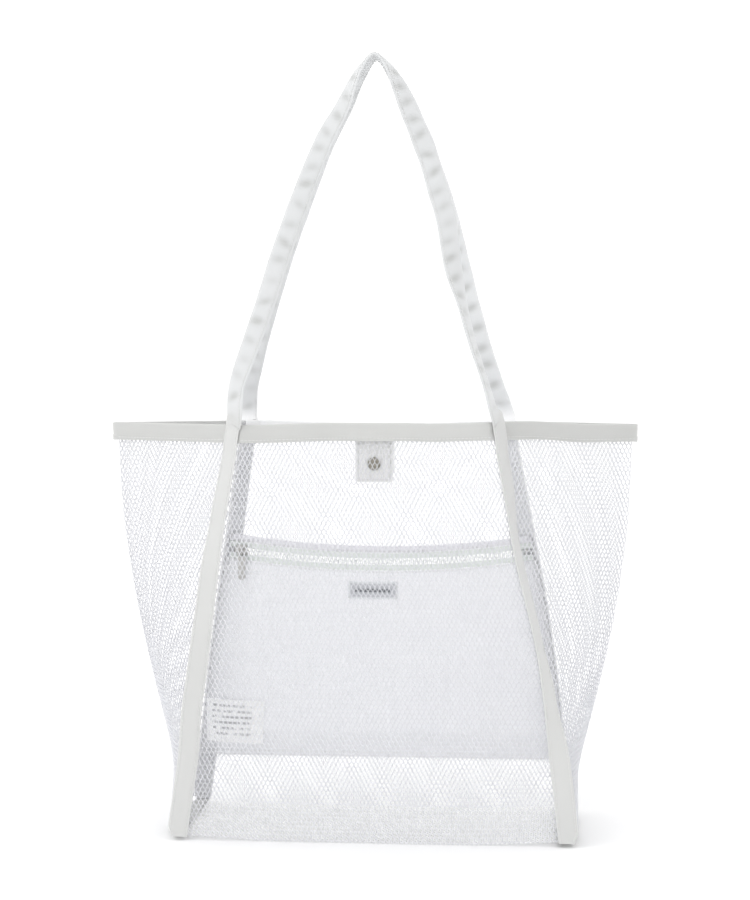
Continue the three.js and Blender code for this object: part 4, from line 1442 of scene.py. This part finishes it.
def band_place(across, along):
    flat = -band_half * (2 * across - 1)
    turned_back = ease(0.45, 1.0, along)
    z = mix(band_low, POCKET_TOP, min(1.0, along / 0.5))
    depth = mix(POCKET_DEPTH, POCKET_SEAM_DEPTH + 0.0004, turned_back)
    point = in_pocket(flat, z, depth)
    point.z += 0.0006 * math.sin(math.pi * min(1.0, max(0.0, (along - 0.3) / 0.4)))
    return point


band_size = (2 * band_half, band_height + POCKET_DEPTH)
band = thick_sheet(
    "pocket_top_cloth", POCKET_COLUMNS, 14, band_place, POCKET_CLOTH_THICK, band_size
)
band.data.materials.append(band_finish)
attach(band, "bag")
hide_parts("pocket_top_band")


def level_row(z, reach):
    """A row of stitches across the pocket."""
    shares = [k / POCKET_SEAM_STEPS for k in range(POCKET_SEAM_STEPS + 1)]
    return [in_pocket(mix(-reach, reach, share), z) + POCKET_STITCH_OUT for share in shares]


pocket_rows = [level_row(POCKET_BOTTOM + rise, POCKET_SEAM_HALF) for rise in (POCKET_SEAM_EDGE, 0.0042)]
for z in (pocket_top - POCKET_SEAM_EDGE, band_low + POCKET_SEAM_EDGE):
    pocket_rows.append(level_row(z, pocket_half(z) - 0.008))
for side in (LEFT, RIGHT):
    heights = [mix(POCKET_BOTTOM, pocket_top, k / POCKET_SIDE_STEPS) for k in range(POCKET_SIDE_STEPS + 1)]
    row = [in_pocket(side * (pocket_half(z) - POCKET_SEAM_EDGE), z) + POCKET_STITCH_OUT for z in heights]
    pocket_rows.append(row)
pocket_stitches = stitch_row("pocket_stitches", pocket_rows)
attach(pocket_stitches, "bag")

# ---- Zip: two woven tapes with a nylon coil on each, a slider and its pull ----
# The tapes are white with a faint green cast, and each coil's loops lock between those of the other.
# The slider, its bail and its pull are cast in dull nickel, and metal stops end the coils.
ZIP_PALE = (0.745, 0.78, 0.755)
ZIP_DEEP = (0.70, 0.735, 0.71)
ZIP_SHADOW = (0.64, 0.675, 0.655)
COIL_PITCH = 0.0016
COIL_RADIUS = 0.00036
COIL_REACH = 0.0026
COIL_RISE = 0.00105
COIL_END = 0.0006
COIL_LEAN = 0.14
COIL_STEPS = 160
ZIP_TAPE_THICK = 0.0007
SLIDER_PALE = (0.62, 0.615, 0.60)
SLIDER_DEEP = (0.43, 0.425, 0.41)
zip_tape_finish = twill_finish("zip_tape", ZIP_PALE, ZIP_DEEP, ZIP_SHADOW)
coil_finish = grained_finish(
    "nylon_coil", {"Specular IOR Level": 0.5}, ZIP_PALE, ZIP_DEEP, 300.0, 2400.0,
    (0.15, 0.0001), (0.28, 0.25),
)
slider_finish = grained_finish(
    "slider_nickel", {"Metallic": 1.0}, SLIDER_PALE, SLIDER_DEEP, 300.0, 1700.0,
    (0.3, 0.00008), (0.3, 0.3), 4.0,
)

for row in ("upper", "lower"):
    low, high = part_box(f"zip_tape_{row}")

    def zip_place(across, along):
        return in_pocket(-band_half * (2 * across - 1), mix(low.z, high.z, along))

    size = (2 * band_half, high.z - low.z)
    tape = thick_sheet(f"zip_{row}_tape", POCKET_COLUMNS, 5, zip_place, ZIP_TAPE_THICK, size)
    tape.data.materials.append(zip_tape_finish)
    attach(tape, "bag")
    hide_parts(f"zip_tape_{row}")


def make_coil_tree():
    numbers = {"Loop pitch": COIL_PITCH, "Loop radius": COIL_RADIUS, "Loop reach": COIL_REACH,
               "Lean": COIL_LEAN}
    tree, graph, start = new_tree("zip_coil", numbers)
    bar = graph.node("GeometryNodeMeshUVSphere", {},
                     {"Segments": 8, "Rings": 5, "Radius": start.other("Loop radius")})
    stretch = graph.node("ShaderNodeCombineXYZ", {}, {
        "X": 1.0, "Y": 2.6, "Z": start.other("Loop reach") / (start.other("Loop radius") * 2)})
    shaped = graph.node("GeometryNodeTransform", {}, {"Geometry": bar, "Scale": stretch})
    lean = graph.node("ShaderNodeCombineXYZ", {}, {"Y": start.other("Lean")})
    tilt = graph.node("FunctionNodeEulerToRotation", {}, {0: lean})
    loops = row_of(graph, start, start.other("Loop pitch"), shaped, tilt)
    finish_tree(graph, loops, start.other("Finish"))
    return tree


coil_tree = make_coil_tree()
zip_middle = (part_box("zip_teeth_upper")[1].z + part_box("zip_teeth_lower")[0].z) / 2
for row, sign, offset in (("upper", 1, COIL_PITCH / 2), ("lower", -1, 0.0)):
    coil_z = zip_middle + sign * COIL_RISE
    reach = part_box(f"zip_teeth_{row}")[1].x - COIL_END
    line = [in_pocket(mix(-reach + offset, reach, k / COIL_STEPS), coil_z) for k in range(COIL_STEPS + 1)]
    coil = link_lines(f"zip_{row}_coil", [line])
    run_tree(coil, coil_tree, {"Finish": coil_finish, "Lean": COIL_LEAN * sign})
    coil.data.shade_smooth()
    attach(coil, "bag")
    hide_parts(f"zip_teeth_{row}")


def rounded_copy(name, node, body, radius):
    """The CAD solid with its sharp edges rounded, as cast or stamped metal has."""
    mesh = frame["nodes"][node].data.copy()
    mesh.name = name
    mesh.materials.clear()
    work = bmesh.new()
    work.from_mesh(mesh)
    bmesh.ops.remove_doubles(work, verts=work.verts, dist=0.00001)
    bmesh.ops.dissolve_limit(work, angle_limit=math.radians(2), verts=work.verts, edges=work.edges)
    sharp = [edge for edge in work.edges if len(edge.link_faces) == 2
             and edge.calc_face_angle() > math.radians(30)]
    bmesh.ops.bevel(work, geom=sharp, offset=radius, segments=3, profile=0.5,
                    affect="EDGES", clamp_overlap=True)
    bmesh.ops.triangulate(work, faces=work.faces)
    work.to_mesh(mesh)
    work.free()
    mesh.shade_smooth()
    mesh.set_sharp_from_angle(angle=math.radians(35))
    mesh.materials.append(slider_finish)
    piece = link_object(name, mesh)
    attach(piece, body)
    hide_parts(node)


for name, node, body, slot, radius in (
    ("zip_slider_body", "zip_slider", "zip_slider", "slider_metal", 0.00035),
    ("zip_slider_bail", "zip_slider_crown", "zip_slider", "slider_metal", 0.0003),
    ("zip_pull_plate", "zip_pull_tab", "zip_pull", "slider_metal", 0.00025),
    ("zip_left_stop", "zip_stop_left", "bag", "zip_teeth", 0.0003),
    ("zip_right_stop", "zip_stop_right", "bag", "zip_teeth", 0.0003),
):
    rounded_copy(name, node, body, radius)

# ---- Labels: a grey woven label on the pocket and a care label at its left side ----
# The woven label is grey satin with a paler border and a row of plain bars in place of a name.
# The care label is a white satin page, sewn in by its left edge, with rows of plain grey bars.
LABEL_GREY = (0.52, 0.53, 0.56)
LABEL_DEEP = (0.46, 0.47, 0.50)
LABEL_BORDER = (0.70, 0.715, 0.74)
LABEL_BAR = (0.08, 0.085, 0.10)
LABEL_MARGIN = 0.0016
LABEL_THICK = 0.0006
LABEL_BAR_WIDTH = 0.0021
LABEL_BAR_MARGIN = 0.005
CARE_PALE = (0.95, 0.952, 0.955)
CARE_DEEP = (0.92, 0.922, 0.925)
CARE_INK = (0.38, 0.385, 0.40)
CARE_ROW = 0.0046
CARE_MARGIN = 0.0045
CARE_TILT = math.radians(3.0)
CARE_THICK = 0.00045
CARE_BAR_WIDTH = 0.0030


def between(graph, value, low, high, soft):
    """1 where the value lies from low to high, and 0 outside."""
    rise = graph.node("ShaderNodeMapRange", {}, {0: value, 1: low - soft, 2: low + soft})
    fall = graph.node("ShaderNodeMapRange", {}, {0: value, 1: high - soft, 2: high + soft})
    return rise * (1 - fall)


def satin(graph, shader, place, colour):
    thread = ribs(graph, place.other("Y"), place.other("X"), 0.00035, 0.0)
    feed(graph, shader, "Base Color", colour)
    feed(graph, shader, "Roughness", 0.42 + thread * 0.18)
    add_bump(graph, shader, thread, 0.35, 0.00006)


def bars(graph, place, pitch, width, height, left, right, low, high, seed):
    """Rows of plain bars of uneven length, like lines of print with no letters."""
    row_count = place.other("Y") / pitch
    row = graph.node("ShaderNodeMath", {"operation": "FLOOR"}, {0: row_count})
    spot = {"X": place.other("X") / width, "Y": row * 3.7 + seed}
    words = graph.node("ShaderNodeCombineXYZ", {}, spot)
    drift = graph.node("ShaderNodeTexNoise", {}, {"Vector": words, "Scale": 1.0, "Detail": 2.0})
    inked = between(graph, drift, 0.45, 0.9, 0.01)
    level = between(graph, row_count - row, 0.5 - height / 2, 0.5 + height / 2, 0.03)
    across = between(graph, place.other("X"), left, right, 0.0001)
    along = between(graph, place.other("Y"), low, high, 0.0001)
    return inked * level * across * along


low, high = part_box("pocket_label")
label_size = (high.x - low.x, high.z - low.z)
label_middle = (low.z + high.z) / 2
label_finish, graph, shader = new_finish("grey_woven_label", {"Sheen Weight": 0.2})
uv, place = cut_place(graph)
field = between(graph, place.other("X"), LABEL_MARGIN, label_size[0] - LABEL_MARGIN, 0.0002)
field = field * between(graph, place.other("Y"), LABEL_MARGIN, label_size[1] - LABEL_MARGIN, 0.0002)
cloth = patchy(graph, LABEL_GREY, LABEL_DEEP, 160.0)
bordered = blended(graph, field, rgba(LABEL_BORDER), cloth)
label_bars = bars(graph, place, label_size[1], LABEL_BAR_WIDTH, 0.2, LABEL_BAR_MARGIN,
                  label_size[0] - LABEL_BAR_MARGIN, 0, label_size[1], 2.0)
satin(graph, shader, place, shade(graph, bordered, LABEL_BAR, label_bars))


def label_place(across, along, out=0.00085):
    flat = mix(high.x, low.x, across)
    point = in_pocket(flat, mix(low.z, high.z, along))
    return Vector((point.x, point.y - out, point.z + pocket_sag(0, label_middle)))


label = thick_sheet("pocket_woven_label", 28, 12, label_place, LABEL_THICK, label_size, 0.4)
label.data.materials.append(label_finish)
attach(label, "bag")
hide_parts("pocket_label")
label_rows = []
for across in (0.025, 0.975):
    label_rows.append([label_place(across, k / 12, 0.0013) for k in range(13)])
label_stitches = stitch_row("pocket_label_stitches", label_rows)
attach(label_stitches, "bag")

low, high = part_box("care_label")
care_size = (high.x - low.x, high.z - low.z)
care_finish, graph, shader = new_finish("care_satin", {"Sheen Weight": 0.2})
uv, place = cut_place(graph)
care_bars = bars(graph, place, CARE_ROW, CARE_BAR_WIDTH, 0.42, CARE_MARGIN, care_size[0] - 0.010,
                 CARE_MARGIN, care_size[1] - 0.003, 7.0)
care_cloth = patchy(graph, CARE_PALE, CARE_DEEP, 90.0)
satin(graph, shader, place, shade(graph, care_cloth, CARE_INK, care_bars * 0.85))
care_edge = Vector((low.x, (low.y + high.y) / 2, (low.z + high.z) / 2))


def care_place(across, along):
    out = across * care_size[0]
    rise = (along - 0.5) * care_size[1]
    curl = 0.0016 * math.sin(across * math.pi * 1.3) + 0.0005 * math.sin(along * 5 + across * 3)
    tilt = CARE_TILT * ease(0, 0.3, across)
    x = out * math.cos(tilt) + rise * math.sin(tilt)
    z = rise * math.cos(tilt) - out * math.sin(tilt)
    return care_edge + Vector((x, -curl * ease(0, 0.25, across), z))


care = thick_sheet("care_label_page", 32, 22, care_place, CARE_THICK, care_size)
care.data.materials.append(care_finish)
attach(care, "care_label")
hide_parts("care_label")
